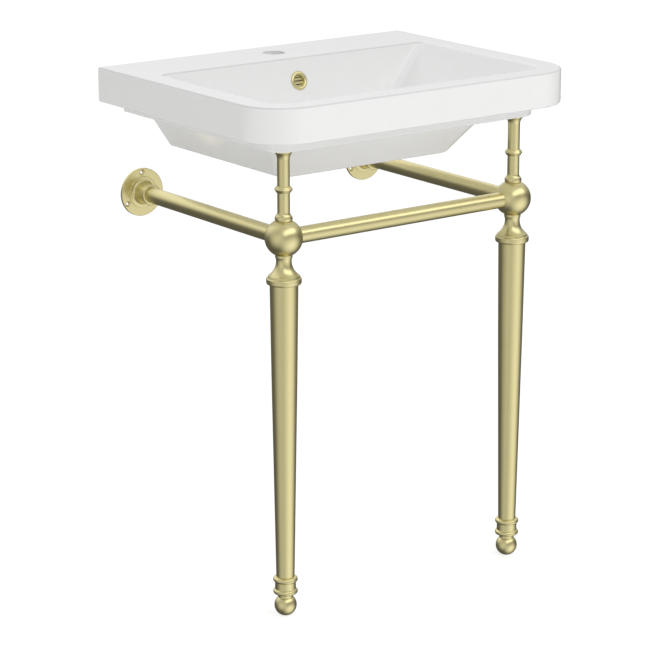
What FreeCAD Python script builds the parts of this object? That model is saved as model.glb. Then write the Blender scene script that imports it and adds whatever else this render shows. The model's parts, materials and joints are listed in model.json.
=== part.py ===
import FreeCAD, Part
import math
import os
import re
import Sketcher

# Console basin on a two-legged washstand. Millimetres. X runs along the wall, +Y points
# into the wall and +Z up. The origin is on the floor, midway across the basin's outline.

SIZES = {
    # Basin outline
    "width": 600,
    "depth": 462,
    "height": 812,
    "apron": 55,
    "front_corner": 75,
    "apron_edge": 3.5,
    # Plinth under the apron, and the bowl's outside below it
    "plinth_inset": 46,
    "plinth_corner": 29,
    "plinth_drop": 76,
    "hull_top_half": 211,
    "hull_top_front": 355,
    "hull_foot_half": 166,
    "hull_foot_front": 308,
    "hull_drop": 142,
    "hull_corner": 22,
    # Bowl inside, measured back from the wall and down from the rim
    "bowl_half": 259,
    "bowl_back": 112,
    "bowl_front": 422,
    "bowl_floor_half": 131,
    "bowl_floor_back": 151,
    "bowl_floor_front": 291,
    "bowl_drop": 122,
    "bowl_back_corner": 13,
    "bowl_front_corner": 36,
    "bowl_floor_corner": 14,
    "bowl_rim_edge": 2.5,
    "bowl_floor_edge": 12,
    # Holes and passages in the basin
    "tap_radius": 17.5,
    "tap_back": 55,
    "deck_skin": 22,
    "back_skin": 12,
    "tail_space_depth": 72,
    "tail_space_half": 193,
    "tail_space_foot_half": 148,
    "fixing_radius": 7,
    "fixing_half_span": 140,
    "fixing_drop": 60,
    "waste_radius": 23,
    "waste_seat_radius": 33,
    "waste_seat_depth": 4,
    "overflow_drop": 36,
    "overflow_hole": 11,
    "duct_half": 13,
    "duct_gap": 9,
    "duct_skin": 8,
    "duct_floor": 4,
    "duct_level": 8,
    # Overflow trim
    "trim_radius": 15.5,
    "trim_bore": 9.4,
    "trim_proud": 2.6,
    "trim_sleeve": 10.9,
    "trim_length": 9,
    "grid_slot": 1.8,
    "grid_pitch": 5.6,
    "grid_eye": 8.2,
    "grid_set_back": 3,
    "grid_thick": 2,
    "trim_edge": 0.7,
    "trim_crown": 12.3,
    "trim_outer_round": 4.5,
    "trim_inner_round": 4,
    "trim_mouth": 9.8,
    "trim_mouth_at": 1.4,
    "trim_bore_at": 0.8,
    # Legs
    "leg_half_span": 224.4,
    "leg_front": 391.9,
    "foot_ball": 17.4,
    "foot_flat": 5,
    "foot_neck": 11.5,
    "foot_top": 35.2,
    "foot_bore": 14,
    "foot_stud_top": 60,
    "collar_foot": 35.5,
    "collar_waist": 16.2,
    "collar_ring": 4.2,
    "collar_ring_tall": 8,
    "collar_upper_ring": 55,
    "collar_shoulder": 14.7,
    "collar_web": 5,
    "tube_foot": 63.5,
    "tube_foot_radius": 14.2,
    "tube_mid": 376,
    "tube_mid_radius": 19.6,
    "tube_top": 531,
    "tube_top_radius": 21.7,
    "tube_wall": 2.5,
    "socket_depth": 16,
    "neck_collar": 26.8,
    "neck_collar_top": 541.5,
    "neck_edge": 3,
    "neck_edge_in": 2.3,
    "neck_shoulder": 23.8,
    "neck_shoulder_at": 544,
    "neck_waist": 11.75,
    "neck_waist_at": 566.7,
    "neck_sweep": 27.4,
    "neck_flare": 12.7,
    "neck_slip": 0.25,
    "hub_at": 602,
    "hub_web": 6,
    "hub_screw_at": 19,
    "hub_radius": 29,
    "hub_flat": 13.2,
    "stem_ring_end": 12.6,
    "stem_ring_round": 9,
    "stem_ring_tall": 8,
    "stem_flare_start": 12.1,
    "stem_flare_round": 9,
    "stem_radius": 9.5,
    "stem_flare_top": 643,
    "stem_top": 672.2,
    "bead_foot": 671.5,
    "bead_rim": 13.35,
    "bead_rim_foot": 675.6,
    "bead_rim_top": 677.4,
    "bead_rim_round": 1.2,
    "bead_shoulder": 11.1,
    "bead_shoulder_at": 680.5,
    "bead_shoulder_round": 1.6,
    "bead_top": 681.5,
    "bead_ceiling": 679,
    "skirt_gap": 0.08,
    "skirt_lip": 10.9,
    "stem_stud_top": 700,
    "cup_bore_top": 710,
    "cup_flare_foot": 721,
    "cup_flare_round": 15,
    "cup_flare_end": 12.9,
    "cup_flare_top": 731.6,
    "cup_radius": 13.7,
    "cup_band_foot": 732.6,
    "cup_top": 734,
    "pad_radius": 11,
    "pad_recess": 2,
    "pad_gap": 0.3,
    # Threaded rods, screws and fits
    "stud_radius": 5,
    "thread_gap": 0.06,
    "rod_radius": 4,
    "slip_gap": 0.05,
    "grub_radius": 2,
    "grub_length": 3,
    "grub_key": 1,
    # Rails and wall flanges
    "rail_radius": 12.7,
    "rail_wall": 1.6,
    "rail_stop": 14.6,
    "flange_radius": 39,
    "flange_plate": 4.4,
    "flange_edge": 1.2,
    "flange_edge_round": 1.4,
    "flange_ring": 25.5,
    "flange_ring_tall": 6.4,
    "flange_ring_edge": 0.8,
    "flange_ring_round": 1,
    "flange_root": 17.6,
    "flange_root_in": 3.5,
    "flange_root_up": 4,
    "flange_root_round": 4.5,
    "flange_sleeve": 15.5,
    "flange_lip": 0.6,
    "flange_lip_foot": 29.6,
    "flange_lip_round": 1.8,
    "flange_length": 33,
    "flange_floor": 6,
    "screw_circle": 32,
    "screw_hole": 2.5,
    "screw_head": 5,
    "flange_grub_at": 25,
    # How far a cutting tool runs past what it cuts
    "overrun": 1,
}
SIDES = (("left", -1), ("right", 1))
SCREW_TURNS = (90, 210, 330)
WORD = re.compile(r"[a-z_]+")
TOUCH = 0.01  # Points closer than this are taken as one.
BAND = 5  # The tests for edges look this far past the bowl's own edge.

doc = FreeCAD.newDocument("console_basin")
sheet = doc.addObject("Spreadsheet::Sheet", "Sizes")
for row, (name, number) in enumerate(SIZES.items(), 1):
    sheet.set(f"A{row}", name)
    sheet.set(f"B{row}", str(number))
    sheet.setAlias(f"B{row}", name)
doc.recompute()
nodes = []


def bound(text):
    """The formula with each size named as the sheet's own cell."""
    return WORD.sub(lambda m: f"Sizes.{m[0]}" if m[0] in SIZES else m[0], text)


def value(text):
    """What the formula comes to now, in millimetres."""
    return float(sheet.evalExpression(bound(text)))


def tie(thing, name, text):
    """Binds a property to a formula of the sheet's sizes."""
    thing.setExpression(name, bound(text))


def place(thing, x="0", y="0", z="0"):
    """Puts a piece where three formulas say."""
    for axis, text in (("x", x), ("y", y), ("z", z)):
        tie(thing, f"Placement.Base.{axis}", text)


def turn(thing, axis, angle):
    """Turns a piece about an axis through its origin, by a formula in degrees."""
    thing.Placement.Rotation = FreeCAD.Rotation(FreeCAD.Vector(*axis), 1)
    tie(thing, "Placement.Rotation.Angle", angle)


def keep(thing, label):
    """Names a finished piece, which is written to a file of that name."""
    thing.Label = label
    nodes.append(thing)
    return thing


# Sketches


def sketch_on(body, plane, lift=None):
    """A sketch on one of the body's own origin planes, lifted along its normal."""
    sketch = body.newObject("Sketcher::SketchObject", f"{body.Name}_sketch")
    origin = next(f for f in body.Origin.OriginFeatures if f.Role == plane)
    sketch.AttachmentSupport = [(origin, "")]
    sketch.MapMode = "FlatFace"
    if lift is not None:
        tie(sketch, "AttachmentOffset.Base.z", lift)
    return sketch


def pin_point(sketch, geometry, end, across, up):
    """Ties one end of an edge to a pair of formulas."""
    for kind, text in (("DistanceX", across), ("DistanceY", up)):
        number = value(text)
        if abs(number) < TOUCH / 100:
            axis = -2 if kind == "DistanceX" else -1
            sketch.addConstraint(Sketcher.Constraint("PointOnObject", geometry, end, axis))
            continue
        index = sketch.addConstraint(Sketcher.Constraint(kind, -1, 1, geometry, end, number))
        tie(sketch, f"Constraints[{index}]", text)


def middle_of_arc(start, end, radius):
    """The point halfway along an arc. A positive radius bulges to the right of the chord."""
    chord = end - start
    half = chord.Length / 2
    sagitta = abs(radius) - math.sqrt(radius * radius - half * half)
    side = FreeCAD.Vector(chord.y, -chord.x, 0).normalize()
    return (start + end) * 0.5 + side * math.copysign(sagitta, radius)


def outline(sketch, corners):
    """A closed outline through corners, each (across, up) or (across, up, arc radius).

    The radius belongs to the edge that leaves the corner.
    """
    points = [FreeCAD.Vector(value(c[0]), value(c[1]), 0) for c in corners]
    radii = [value(c[2]) if len(c) == 3 else None for c in corners]
    count = len(corners)
    for i, radius in enumerate(radii):
        start, end = points[i], points[(i + 1) % count]
        if radius is None:
            edge = Part.LineSegment(start, end)
        elif radius > 0:
            edge = Part.Arc(start, middle_of_arc(start, end, radius), end)
        else:
            edge = Part.Arc(end, middle_of_arc(start, end, radius), start)
        sketch.addGeometry(edge, False)
    # An arc runs anticlockwise, so a hollow one starts where the outline leaves it.
    firsts = [2 if radius is not None and radius < 0 else 1 for radius in radii]
    for i, corner in enumerate(corners):
        after = (i + 1) % count
        joint = Sketcher.Constraint("Coincident", i, 3 - firsts[i], after, firsts[after])
        sketch.addConstraint(joint)
        pin_point(sketch, i, firsts[i], corner[0], corner[1])
        if radii[i] is not None:
            size = sketch.addConstraint(Sketcher.Constraint("Radius", i, abs(radii[i])))
            tie(sketch, f"Constraints[{size}]", f"abs({corner[2]})")


def rounded_plan(sketch, half, back, front, back_corner, front_corner):
    """A level outline symmetrical about X = 0, from back to front, with rounded corners."""
    corners = [
        (f"-({half})", f"{front} + {front_corner}", front_corner),
        (f"-({half}) + {front_corner}", front),
        (f"({half}) - {front_corner}", front, front_corner),
        (half, f"{front} + {front_corner}"),
    ]
    if back_corner:
        corners += [
            (half, f"{back} - {back_corner}", back_corner),
            (f"({half}) - {back_corner}", back),
            (f"-({half}) + {back_corner}", back, back_corner),
            (f"-({half})", f"{back} - {back_corner}"),
        ]
    else:
        corners += [(half, back), (f"-({half})", back)]
    outline(sketch, corners)


def circle(sketch, across, up, radius):
    """A circle whose centre and radius are formulas."""
    centre = FreeCAD.Vector(value(across), value(up), 0)
    normal = FreeCAD.Vector(0, 0, 1)
    index = sketch.addGeometry(Part.Circle(centre, normal, value(radius)), False)
    pin_point(sketch, index, 3, across, up)
    size = sketch.addConstraint(Sketcher.Constraint("Radius", index, value(radius)))
    tie(sketch, f"Constraints[{size}]", radius)


# Features


def turned(label, corners):
    """A body turned about its own Z axis from an outline of (radius, height) corners."""
    body = doc.addObject("PartDesign::Body", label)
    sketch = sketch_on(body, "XZ_Plane")
    outline(sketch, corners)
    turn = body.newObject("PartDesign::Revolution", f"{label}_turn")
    turn.Profile = sketch
    turn.ReferenceAxis = (sketch, ["V_Axis"])
    turn.Angle = 360
    doc.recompute()
    return keep(body, label)


def rod(label, radius, foot, top):
    """A plain round rod on its own Z axis."""
    rod_body = doc.addObject("Part::Cylinder", label)
    tie(rod_body, "Radius", radius)
    tie(rod_body, "Height", f"{top} - ({foot})")
    return keep(rod_body, label)


def pad(body, sketch, length, name="PartDesign::Pad", backwards=False):
    """Adds or cuts a prism on a sketch."""
    feature = body.newObject(name, f"{sketch.Name}_prism")
    feature.Profile = sketch
    tie(feature, "Length", length)
    feature.Reversed = backwards
    doc.recompute()
    return feature


def cut(body, sketch, length, backwards=False):
    """Cuts a pocket and makes sure that it took something away."""
    before = body.Shape.Volume
    feature = pad(body, sketch, length, "PartDesign::Pocket", backwards)
    if not body.Shape.Volume < before - 1:
        raise RuntimeError(f"{feature.Name} cuts nothing")
    return feature


def loft(body, kind, lower, upper):
    """Joins two level outlines with flat faces, as a solid or as a hollow."""
    feature = body.newObject(kind, f"{lower.Name}_loft")
    feature.Profile = lower
    feature.Sections = [upper]
    feature.Ruled = True
    doc.recompute()
    return feature


def rounded(body, wanted, radius):
    """Fillets the edges of the body's tip that the test picks."""
    tip = body.Tip
    names = [f"Edge{i}" for i, e in enumerate(tip.Shape.Edges, 1) if wanted(e)]
    if not names:
        raise RuntimeError(f"no edge of {tip.Name} to round")
    feature = body.newObject("PartDesign::Fillet", f"{tip.Name}_round")
    feature.Base = (tip, names)
    tie(feature, "Radius", radius)
    doc.recompute()
    return feature


# Basin

WALL = "depth / 2"


def from_wall(distance):
    """The Y of something that lies this far out from the wall."""
    return f"{WALL} - ({distance})"


def below_rim(distance):
    """The Z of something that lies this far below the rim."""
    return f"height - ({distance})"


def level_edge(drop):
    """A test for edges that lie level, this far below the rim."""
    z = value(below_rim(drop))

    def test(edge):
        box = edge.BoundBox
        return abs(box.ZMin - z) < TOUCH and abs(box.ZMax - z) < TOUCH

    return test


def both(*tests):
    """A test for edges that pass all the tests."""
    return lambda edge: all(test(edge) for test in tests)


def off_the_wall(edge):
    """True where an edge keeps clear of the wall plane."""
    return edge.BoundBox.YMax < value(WALL) - TOUCH or edge.BoundBox.YLength > TOUCH


def rim_edge(edge):
    """True on the slab's outer edge, and not on the bowl's."""
    box = edge.BoundBox
    reach = max(abs(box.XMin), abs(box.XMax))
    front = value(from_wall("bowl_front")) - BAND
    return reach > value("bowl_half") + BAND or box.YMin < front


def bowl_edge(edge):
    """True on the bowl's own edges."""
    return not rim_edge(edge) and edge.BoundBox.YMax < value(from_wall("bowl_back")) + BAND


def basin_outside(body):
    """The slab with its apron, the plinth below it and the bowl's outside."""
    slab = sketch_on(body, "XY_Plane", below_rim("apron"))
    rounded_plan(slab, "width / 2", WALL, f"-({WALL})", None, "front_corner")
    pad(body, slab, "apron")
    plinth = sketch_on(body, "XY_Plane", below_rim("plinth_drop"))
    front = f"-({WALL}) + plinth_inset"
    rounded_plan(plinth, "width / 2 - plinth_inset", WALL, front, None, "plinth_corner")
    pad(body, plinth, "plinth_drop - apron + overrun")
    foot = sketch_on(body, "XY_Plane", below_rim("hull_drop"))
    rounded_plan(foot, "hull_foot_half", WALL, from_wall("hull_foot_front"), None, "hull_corner")
    top = sketch_on(body, "XY_Plane", below_rim("plinth_drop"))
    rounded_plan(top, "hull_top_half", WALL, from_wall("hull_top_front"), None, "hull_corner")
    loft(body, "PartDesign::AdditiveLoft", foot, top)


def basin_bowl(body):
    """The bowl: long ramps at the sides and front, and a steep back wall."""
    floor = sketch_on(body, "XY_Plane", below_rim("bowl_drop"))
    back, front = from_wall("bowl_floor_back"), from_wall("bowl_floor_front")
    corner = "bowl_floor_corner"
    rounded_plan(floor, "bowl_floor_half", back, front, corner, corner)
    mouth = sketch_on(body, "XY_Plane", below_rim("0"))
    back, front = from_wall("bowl_back"), from_wall("bowl_front")
    rounded_plan(mouth, "bowl_half", back, front, "bowl_back_corner", "bowl_front_corner")
    loft(body, "PartDesign::SubtractiveLoft", floor, mouth)


def basin_edges(body):
    """The glaze-softened edges."""
    rounded(body, both(level_edge("bowl_drop"), bowl_edge), "bowl_floor_edge")
    rounded(body, both(level_edge("0"), bowl_edge), "bowl_rim_edge")
    rounded(body, both(level_edge("0"), rim_edge, off_the_wall), "apron_edge")
    rounded(body, both(level_edge("apron"), rim_edge, off_the_wall), "apron_edge")
    rounded(body, both(level_edge("hull_drop"), off_the_wall), "apron_edge")


def basin_tail_space(body):
    """The space behind the bowl, open below, where the tap's tail and the wall nuts are."""
    section = sketch_on(body, "XZ_Plane", f"-({from_wall('back_skin')})")
    foot = below_rim("hull_drop + overrun")
    knee = below_rim("plinth_drop")
    roof = below_rim("deck_skin")
    corners = [
        ("-tail_space_foot_half", foot),
        ("tail_space_foot_half", foot),
        ("tail_space_half", knee),
        ("tail_space_half", roof),
        ("-tail_space_half", roof),
        ("-tail_space_half", knee),
    ]
    outline(section, corners)
    cut(body, section, "tail_space_depth", backwards=True)


def basin_holes(body):
    """The tap hole, the waste hole with its seat and the two wall fixing holes."""
    tap = sketch_on(body, "XY_Plane", "height + overrun")
    circle(tap, "0", from_wall("tap_back"), "tap_radius")
    cut(body, tap, "deck_skin + 2 * overrun")
    middle = from_wall("(bowl_floor_back + bowl_floor_front) / 2")
    seat = sketch_on(body, "XY_Plane", below_rim("bowl_drop - overrun"))
    circle(seat, "0", middle, "waste_seat_radius")
    cut(body, seat, "waste_seat_depth + overrun")
    waste = sketch_on(body, "XY_Plane", below_rim("bowl_drop - overrun"))
    circle(waste, "0", middle, "waste_radius")
    cut(body, waste, "hull_drop - bowl_drop + 2 * overrun")
    fixing = sketch_on(body, "XZ_Plane", f"-({WALL}) - overrun")
    circle(fixing, "-fixing_half_span", below_rim("fixing_drop"), "fixing_radius")
    circle(fixing, "fixing_half_span", below_rim("fixing_drop"), "fixing_radius")
    cut(body, fixing, "back_skin + 2 * overrun", backwards=True)


BACK_SLOPE = "(bowl_floor_back - bowl_back) / bowl_drop"
BACK_LEAN = f"atan({BACK_SLOPE})"


def back_wall(drop):
    """The Y of the bowl's leaning back wall, this far below the rim."""
    return from_wall(f"bowl_back + {BACK_SLOPE} * ({drop})")


def on_the_overflow(thing, deep):
    """Puts a piece on the overflow's axis, this deep inside the bowl's back wall."""
    back = f"{back_wall('overflow_drop')} + ({deep}) * cos({BACK_LEAN})"
    place(thing, "0", back, f"{below_rim('overflow_drop')} - ({deep}) * sin({BACK_LEAN})")


def face_the_bowl(thing):
    """Stands a piece on the back wall at the overflow, with its Z square to the wall."""
    turn(thing, (1, 0, 0), f"90 deg - {BACK_LEAN}")
    on_the_overflow(thing, "0")


def box(name, length, width, tall):
    """A box, as a tool for a cut."""
    block = doc.addObject("Part::Box", name)
    tie(block, "Length", length)
    tie(block, "Width", width)
    tie(block, "Height", tall)
    return block


def cylinder(name, radius, tall):
    """A cylinder, as a tool for a cut."""
    drum = doc.addObject("Part::Cylinder", name)
    tie(drum, "Radius", radius)
    tie(drum, "Height", tall)
    return drum


def less(name, base, tools):
    """The base with the tools cut out of it."""
    joined = tools[0]
    if len(tools) > 1:
        joined = doc.addObject("Part::MultiFuse", f"{name}_tools")
        joined.Shapes = tools
    result = doc.addObject("Part::Cut", name)
    result.Base = base
    result.Tool = joined
    doc.recompute()
    if not result.Shape.Volume < base.Shape.Volume - 1:
        raise RuntimeError(f"{name} loses nothing")
    return result


def overflow_passage():
    """The overflow's mouth, the duct down behind the bowl and its run to the waste hole."""
    mouth = cylinder("overflow_mouth", "overflow_hole", "duct_skin + duct_gap / 2 + overrun")
    turn(mouth, (1, 0, 0), f"270 deg - {BACK_LEAN}")
    on_the_overflow(mouth, "-overrun")
    foot = "hull_drop - duct_floor"
    run = f"({foot} - overflow_drop + overflow_hole + overrun) / cos({BACK_LEAN})"
    shaft = box("overflow_duct", "2 * duct_half", "duct_gap", run)
    turn(shaft, (1, 0, 0), f"360 deg - {BACK_LEAN}")
    place(shaft, "-duct_half", f"{back_wall(foot)} + duct_skin / cos({BACK_LEAN})", below_rim(foot))
    reach = "(bowl_floor_front - bowl_floor_back) / 2"
    level = box("overflow_run", "2 * duct_half", f"{reach} + duct_gap", "duct_level")
    waste = "(bowl_floor_front + bowl_floor_back) / 2"
    place(level, "-duct_half", from_wall(waste), below_rim(foot))
    return [mouth, shaft, level]


def make_basin():
    """The whole ceramic basin, with its overflow passage."""
    body = doc.addObject("PartDesign::Body", "basin_casting")
    basin_outside(body)
    basin_bowl(body)
    basin_edges(body)
    basin_tail_space(body)
    basin_holes(body)
    keep(less("basin_with_overflow", body, overflow_passage()), "basin")


def make_overflow_trim():
    """The brass ring round the overflow and the slotted grid inside it."""
    corners = [
        ("trim_bore", "-trim_length"),
        ("trim_sleeve", "-trim_length"),
        ("trim_sleeve", "0"),
        ("trim_radius", "0"),
        ("trim_radius", "trim_edge", "trim_outer_round"),
        ("trim_crown", "trim_proud", "trim_inner_round"),
        ("trim_mouth", "trim_mouth_at"),
        ("trim_bore", "trim_bore_at"),
    ]
    face_the_bowl(turned("overflow_ring", corners))
    disc = cylinder("grid_disc", "trim_bore - slip_gap", "grid_thick")
    eye = cylinder("grid_eye_bore", "grid_eye", "3 * grid_thick")
    place(eye, "0", "0", "-grid_thick")
    bars = []
    for step, word in ((-1.5, "lowest"), (-0.5, "lower"), (0.5, "upper"), (1.5, "highest")):
        bar = box(f"grid_bar_{word}", "4 * grid_eye", "grid_pitch - grid_slot", "4 * grid_thick")
        up = f"{step} * grid_pitch - (grid_pitch - grid_slot) / 2"
        place(bar, "-2 * grid_eye", up, "-1.5 * grid_thick")
        bars.append(bar)
    slots = less("grid_slots", eye, bars)
    grid = keep(less("grid", disc, [slots]), "overflow_grid")
    turn(grid, (1, 0, 0), f"90 deg - {BACK_LEAN}")
    on_the_overflow(grid, "grid_set_back + grid_thick")


# Legs. Each piece is turned about the leg's own axis and then put in its place.

HUB_FOOT = "hub_at - sqrt(hub_radius ^ 2 - hub_flat ^ 2)"
HUB_TOP = "hub_at + sqrt(hub_radius ^ 2 - hub_flat ^ 2)"
LEG_Y = from_wall("leg_front")


def leg_place(thing, sign):
    """Puts a piece on the leg's axis."""
    place(thing, f"{sign} * leg_half_span", LEG_Y)


def make_foot(side, sign):
    """The levelling foot: a brass ball with a neck, on a threaded stud."""
    centre = "sqrt(foot_ball ^ 2 - foot_flat ^ 2)"
    ball_top = f"{centre} + sqrt(foot_ball ^ 2 - foot_neck ^ 2)"
    corners = [
        ("0", "0"),
        ("foot_flat", "0", "foot_ball"),
        ("foot_neck", ball_top),
        ("foot_neck", "foot_top"),
        ("stud_radius", "foot_top"),
        ("stud_radius", "foot_bore"),
        ("0", "foot_bore"),
    ]
    leg_place(turned(f"{side}_foot", corners), sign)
    stud = rod(f"{side}_foot_stud", "stud_radius", "foot_bore", "foot_stud_top")
    place(stud, f"{sign} * leg_half_span", LEG_Y, "foot_bore")


def make_foot_collar(side, sign):
    """The double-ringed collar that takes the foot's stud and plugs into the tube."""
    spigot = "tube_foot_radius - tube_wall - slip_gap"
    bore = "stud_radius + thread_gap"
    corners = [
        (bore, "collar_foot"),
        ("collar_waist", "collar_foot", "collar_ring"),
        ("collar_waist", "collar_foot + collar_ring_tall"),
        ("collar_waist", "collar_upper_ring", "collar_ring"),
        ("collar_waist", "collar_upper_ring + collar_ring_tall"),
        ("collar_shoulder", "tube_foot"),
        (spigot, "tube_foot"),
        (spigot, "tube_foot + socket_depth"),
        ("rod_radius", "tube_foot + socket_depth"),
        ("rod_radius", "tube_foot + collar_web / 2"),
        ("0", "tube_foot + collar_web / 2"),
        ("0", "tube_foot - collar_web / 2"),
        (bore, "tube_foot - collar_web / 2"),
    ]
    leg_place(turned(f"{side}_foot_collar", corners), sign)


def make_leg_tube(side, sign):
    """The long tapered tube, swelling slightly between its ends."""
    corners = [
        ("tube_foot_radius - tube_wall", "tube_foot"),
        ("tube_foot_radius", "tube_foot"),
        ("tube_mid_radius", "tube_mid"),
        ("tube_top_radius", "tube_top"),
        ("tube_top_radius - tube_wall", "tube_top"),
        ("tube_mid_radius - tube_wall", "tube_mid"),
    ]
    leg_place(turned(f"{side}_leg_tube", corners), sign)


def make_leg_neck(side, sign):
    """The collar on top of the tube, sweeping in to a waist below the ball."""
    spigot = "tube_top_radius - tube_wall - neck_slip"
    bore = "rod_radius + neck_slip"
    flare = "sqrt(neck_flare ^ 2 - (neck_flare + neck_waist - hub_flat) ^ 2)"
    corners = [
        (bore, "tube_top - socket_depth"),
        (spigot, "tube_top - socket_depth"),
        (spigot, "tube_top"),
        ("neck_collar - neck_edge_in", "tube_top", "neck_edge"),
        ("neck_collar", "tube_top + neck_edge"),
        ("neck_collar", "neck_collar_top - neck_edge", "neck_edge"),
        ("neck_collar - neck_edge_in", "neck_collar_top"),
        ("neck_shoulder", "neck_shoulder_at", "-neck_sweep"),
        ("neck_waist", "neck_waist_at", "-neck_flare"),
        ("hub_flat", f"neck_waist_at + {flare}"),
        ("hub_flat", HUB_FOOT),
        (bore, HUB_FOOT),
    ]
    leg_place(turned(f"{side}_leg_neck", corners), sign)


def make_hub(side, sign):
    """The ball that the rails, the leg and the upper stem all join."""
    corners = [
        ("rod_radius", HUB_FOOT),
        ("hub_flat", HUB_FOOT, "hub_radius"),
        ("hub_flat", HUB_TOP),
        ("stud_radius", HUB_TOP),
        ("stud_radius", "hub_at + hub_web"),
        ("0", "hub_at + hub_web"),
        ("0", "hub_at - hub_web"),
        ("rod_radius", "hub_at - hub_web"),
    ]
    body = turned(f"{side}_hub_ball", corners)
    inboard = sketch_on(body, "YZ_Plane", f"-({sign}) * (rail_stop - slip_gap)")
    circle(inboard, "0", "hub_at", "rail_radius + slip_gap")
    cut(body, inboard, "hub_radius", backwards=sign < 0)
    wallward = sketch_on(body, "XZ_Plane", "slip_gap - rail_stop")
    circle(wallward, "0", "hub_at", "rail_radius + slip_gap")
    cut(body, wallward, "hub_radius")
    screws = sketch_on(body, "XY_Plane", "hub_at - rail_radius + overrun")
    circle(screws, f"-({sign}) * hub_screw_at", "0", "grub_radius")
    circle(screws, "0", "hub_screw_at", "grub_radius")
    cut(body, screws, "hub_radius")
    leg_place(body, sign)


def grub_screw(name):
    """A headless screw with a hexagonal key socket in its outer end, pointing up."""
    shank = cylinder(f"{name}_shank", "grub_radius", "grub_length")
    key = doc.addObject("Part::Prism", f"{name}_key")
    key.Polygon = 6
    tie(key, "Circumradius", "grub_key / cos(30 deg)")
    tie(key, "Height", "grub_length / 2 + overrun")
    place(key, "0", "0", "-overrun")
    return less(name, shank, [key])


def make_hub_screws(side, sign):
    """The two grub screws under the ball, one for each rail."""
    inboard = grub_screw(f"{side}_inboard_screw")
    foot = "hub_at - rail_radius - grub_length"
    place(inboard, f"-({sign}) * hub_screw_at", "0", foot)
    wallward = grub_screw(f"{side}_wallward_screw")
    place(wallward, "0", "hub_screw_at", foot)
    pair = doc.addObject("Part::Compound", f"{side}_hub_grub_screws")
    pair.Links = [inboard, wallward]
    leg_place(keep(pair, f"{side}_hub_grub_screws"), sign)


def make_tie_rod(side, sign):
    """The steel rod that pulls the leg's pieces together, inside the tube."""
    foot = "tube_foot + collar_web / 2"
    tie_rod = rod(f"{side}_tie_rod", "rod_radius", foot, "hub_at - hub_web")
    place(tie_rod, f"{sign} * leg_half_span", LEG_Y, foot)


def make_stem(side, sign):
    """The lower stem on the ball, and the threaded stud that runs up through it."""
    corners = [
        ("stud_radius", HUB_TOP),
        ("stem_ring_end", HUB_TOP, "stem_ring_round"),
        ("stem_ring_end", f"{HUB_TOP} + stem_ring_tall"),
        ("stem_flare_start", f"{HUB_TOP} + stem_ring_tall", "-stem_flare_round"),
        ("stem_radius", "stem_flare_top"),
        ("stem_radius", "stem_top"),
        ("stud_radius", "stem_top"),
    ]
    leg_place(turned(f"{side}_lower_stem", corners), sign)
    foot = "hub_at + hub_web"
    stud = rod(f"{side}_stem_stud", "stud_radius", foot, "stem_stud_top")
    place(stud, f"{sign} * leg_half_span", LEG_Y, foot)


def make_support_cup(side, sign):
    """The cup under the basin, screwed on the stud, with a bead that hides the thread."""
    bore = "stud_radius + thread_gap"
    skirt = "stem_radius + skirt_gap"
    corners = [
        (bore, "bead_ceiling"),
        (skirt, "bead_ceiling"),
        (skirt, "bead_foot"),
        ("skirt_lip", "bead_foot"),
        ("bead_rim", "bead_rim_foot", "bead_rim_round"),
        ("bead_rim", "bead_rim_top"),
        ("bead_shoulder", "bead_shoulder_at", "bead_shoulder_round"),
        ("stem_radius", "bead_top"),
        ("stem_radius", "cup_flare_foot", "-cup_flare_round"),
        ("cup_flare_end", "cup_flare_top"),
        ("cup_radius", "cup_band_foot"),
        ("cup_radius", "cup_top"),
        ("pad_radius + slip_gap", "cup_top"),
        ("pad_radius + slip_gap", "cup_top - pad_recess"),
        ("0", "cup_top - pad_recess"),
        ("0", "cup_bore_top"),
        (bore, "cup_bore_top"),
    ]
    leg_place(turned(f"{side}_support_cup", corners), sign)
    foot = "cup_top - pad_recess"
    cushion = rod(f"{side}_cup_pad", "pad_radius", foot, below_rim("plinth_drop + pad_gap"))
    place(cushion, f"{sign} * leg_half_span", LEG_Y, foot)


# Rails and wall flanges


def tube(label, length):
    """A plain round tube on its own Z axis."""
    outside = cylinder(f"{label}_outside", "rail_radius", length)
    inside = cylinder(f"{label}_inside", "rail_radius - rail_wall", f"{length} + 2 * overrun")
    place(inside, "0", "0", "-overrun")
    return keep(less(f"{label}_tube", outside, [inside]), label)


def make_front_rail():
    """The rail between the two balls."""
    half = "leg_half_span - rail_stop"
    rail = tube("front_rail", f"2 * ({half})")
    turn(rail, (0, 1, 0), "90 deg")
    place(rail, f"-({half})", LEG_Y, "hub_at")


def make_side_rail(side, sign):
    """The rail from a ball back to its wall flange."""
    rail = tube(f"{side}_side_rail", "leg_front - rail_stop - flange_floor")
    turn(rail, (1, 0, 0), "90 deg")
    place(rail, f"{sign} * leg_half_span", from_wall("flange_floor"), "hub_at")


def flange_holes(body):
    """Three countersunk screw holes on a circle, one of them at the top."""
    sketch = sketch_on(body, "XY_Plane", "flange_plate")
    for angle in SCREW_TURNS:
        across = f"screw_circle * cos({angle} deg)"
        circle(sketch, across, f"screw_circle * sin({angle} deg)", "screw_hole")
    doc.recompute()
    holes = body.newObject("PartDesign::Hole", f"{body.Name}_holes")
    holes.Profile = sketch
    doc.recompute()
    holes.DepthType = "ThroughAll"
    holes.HoleCutType = "Countersink"
    tie(holes, "Diameter", "2 * screw_hole")
    tie(holes, "HoleCutDiameter", "2 * screw_head")
    holes.HoleCutCountersinkAngle = 90
    doc.recompute()


def wall_place(thing, sign):
    """Stands a piece on the wall, pointing out of it, at the rail's height."""
    turn(thing, (1, 0, 0), "90 deg")
    place(thing, f"{sign} * leg_half_span", WALL, "hub_at")


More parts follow.
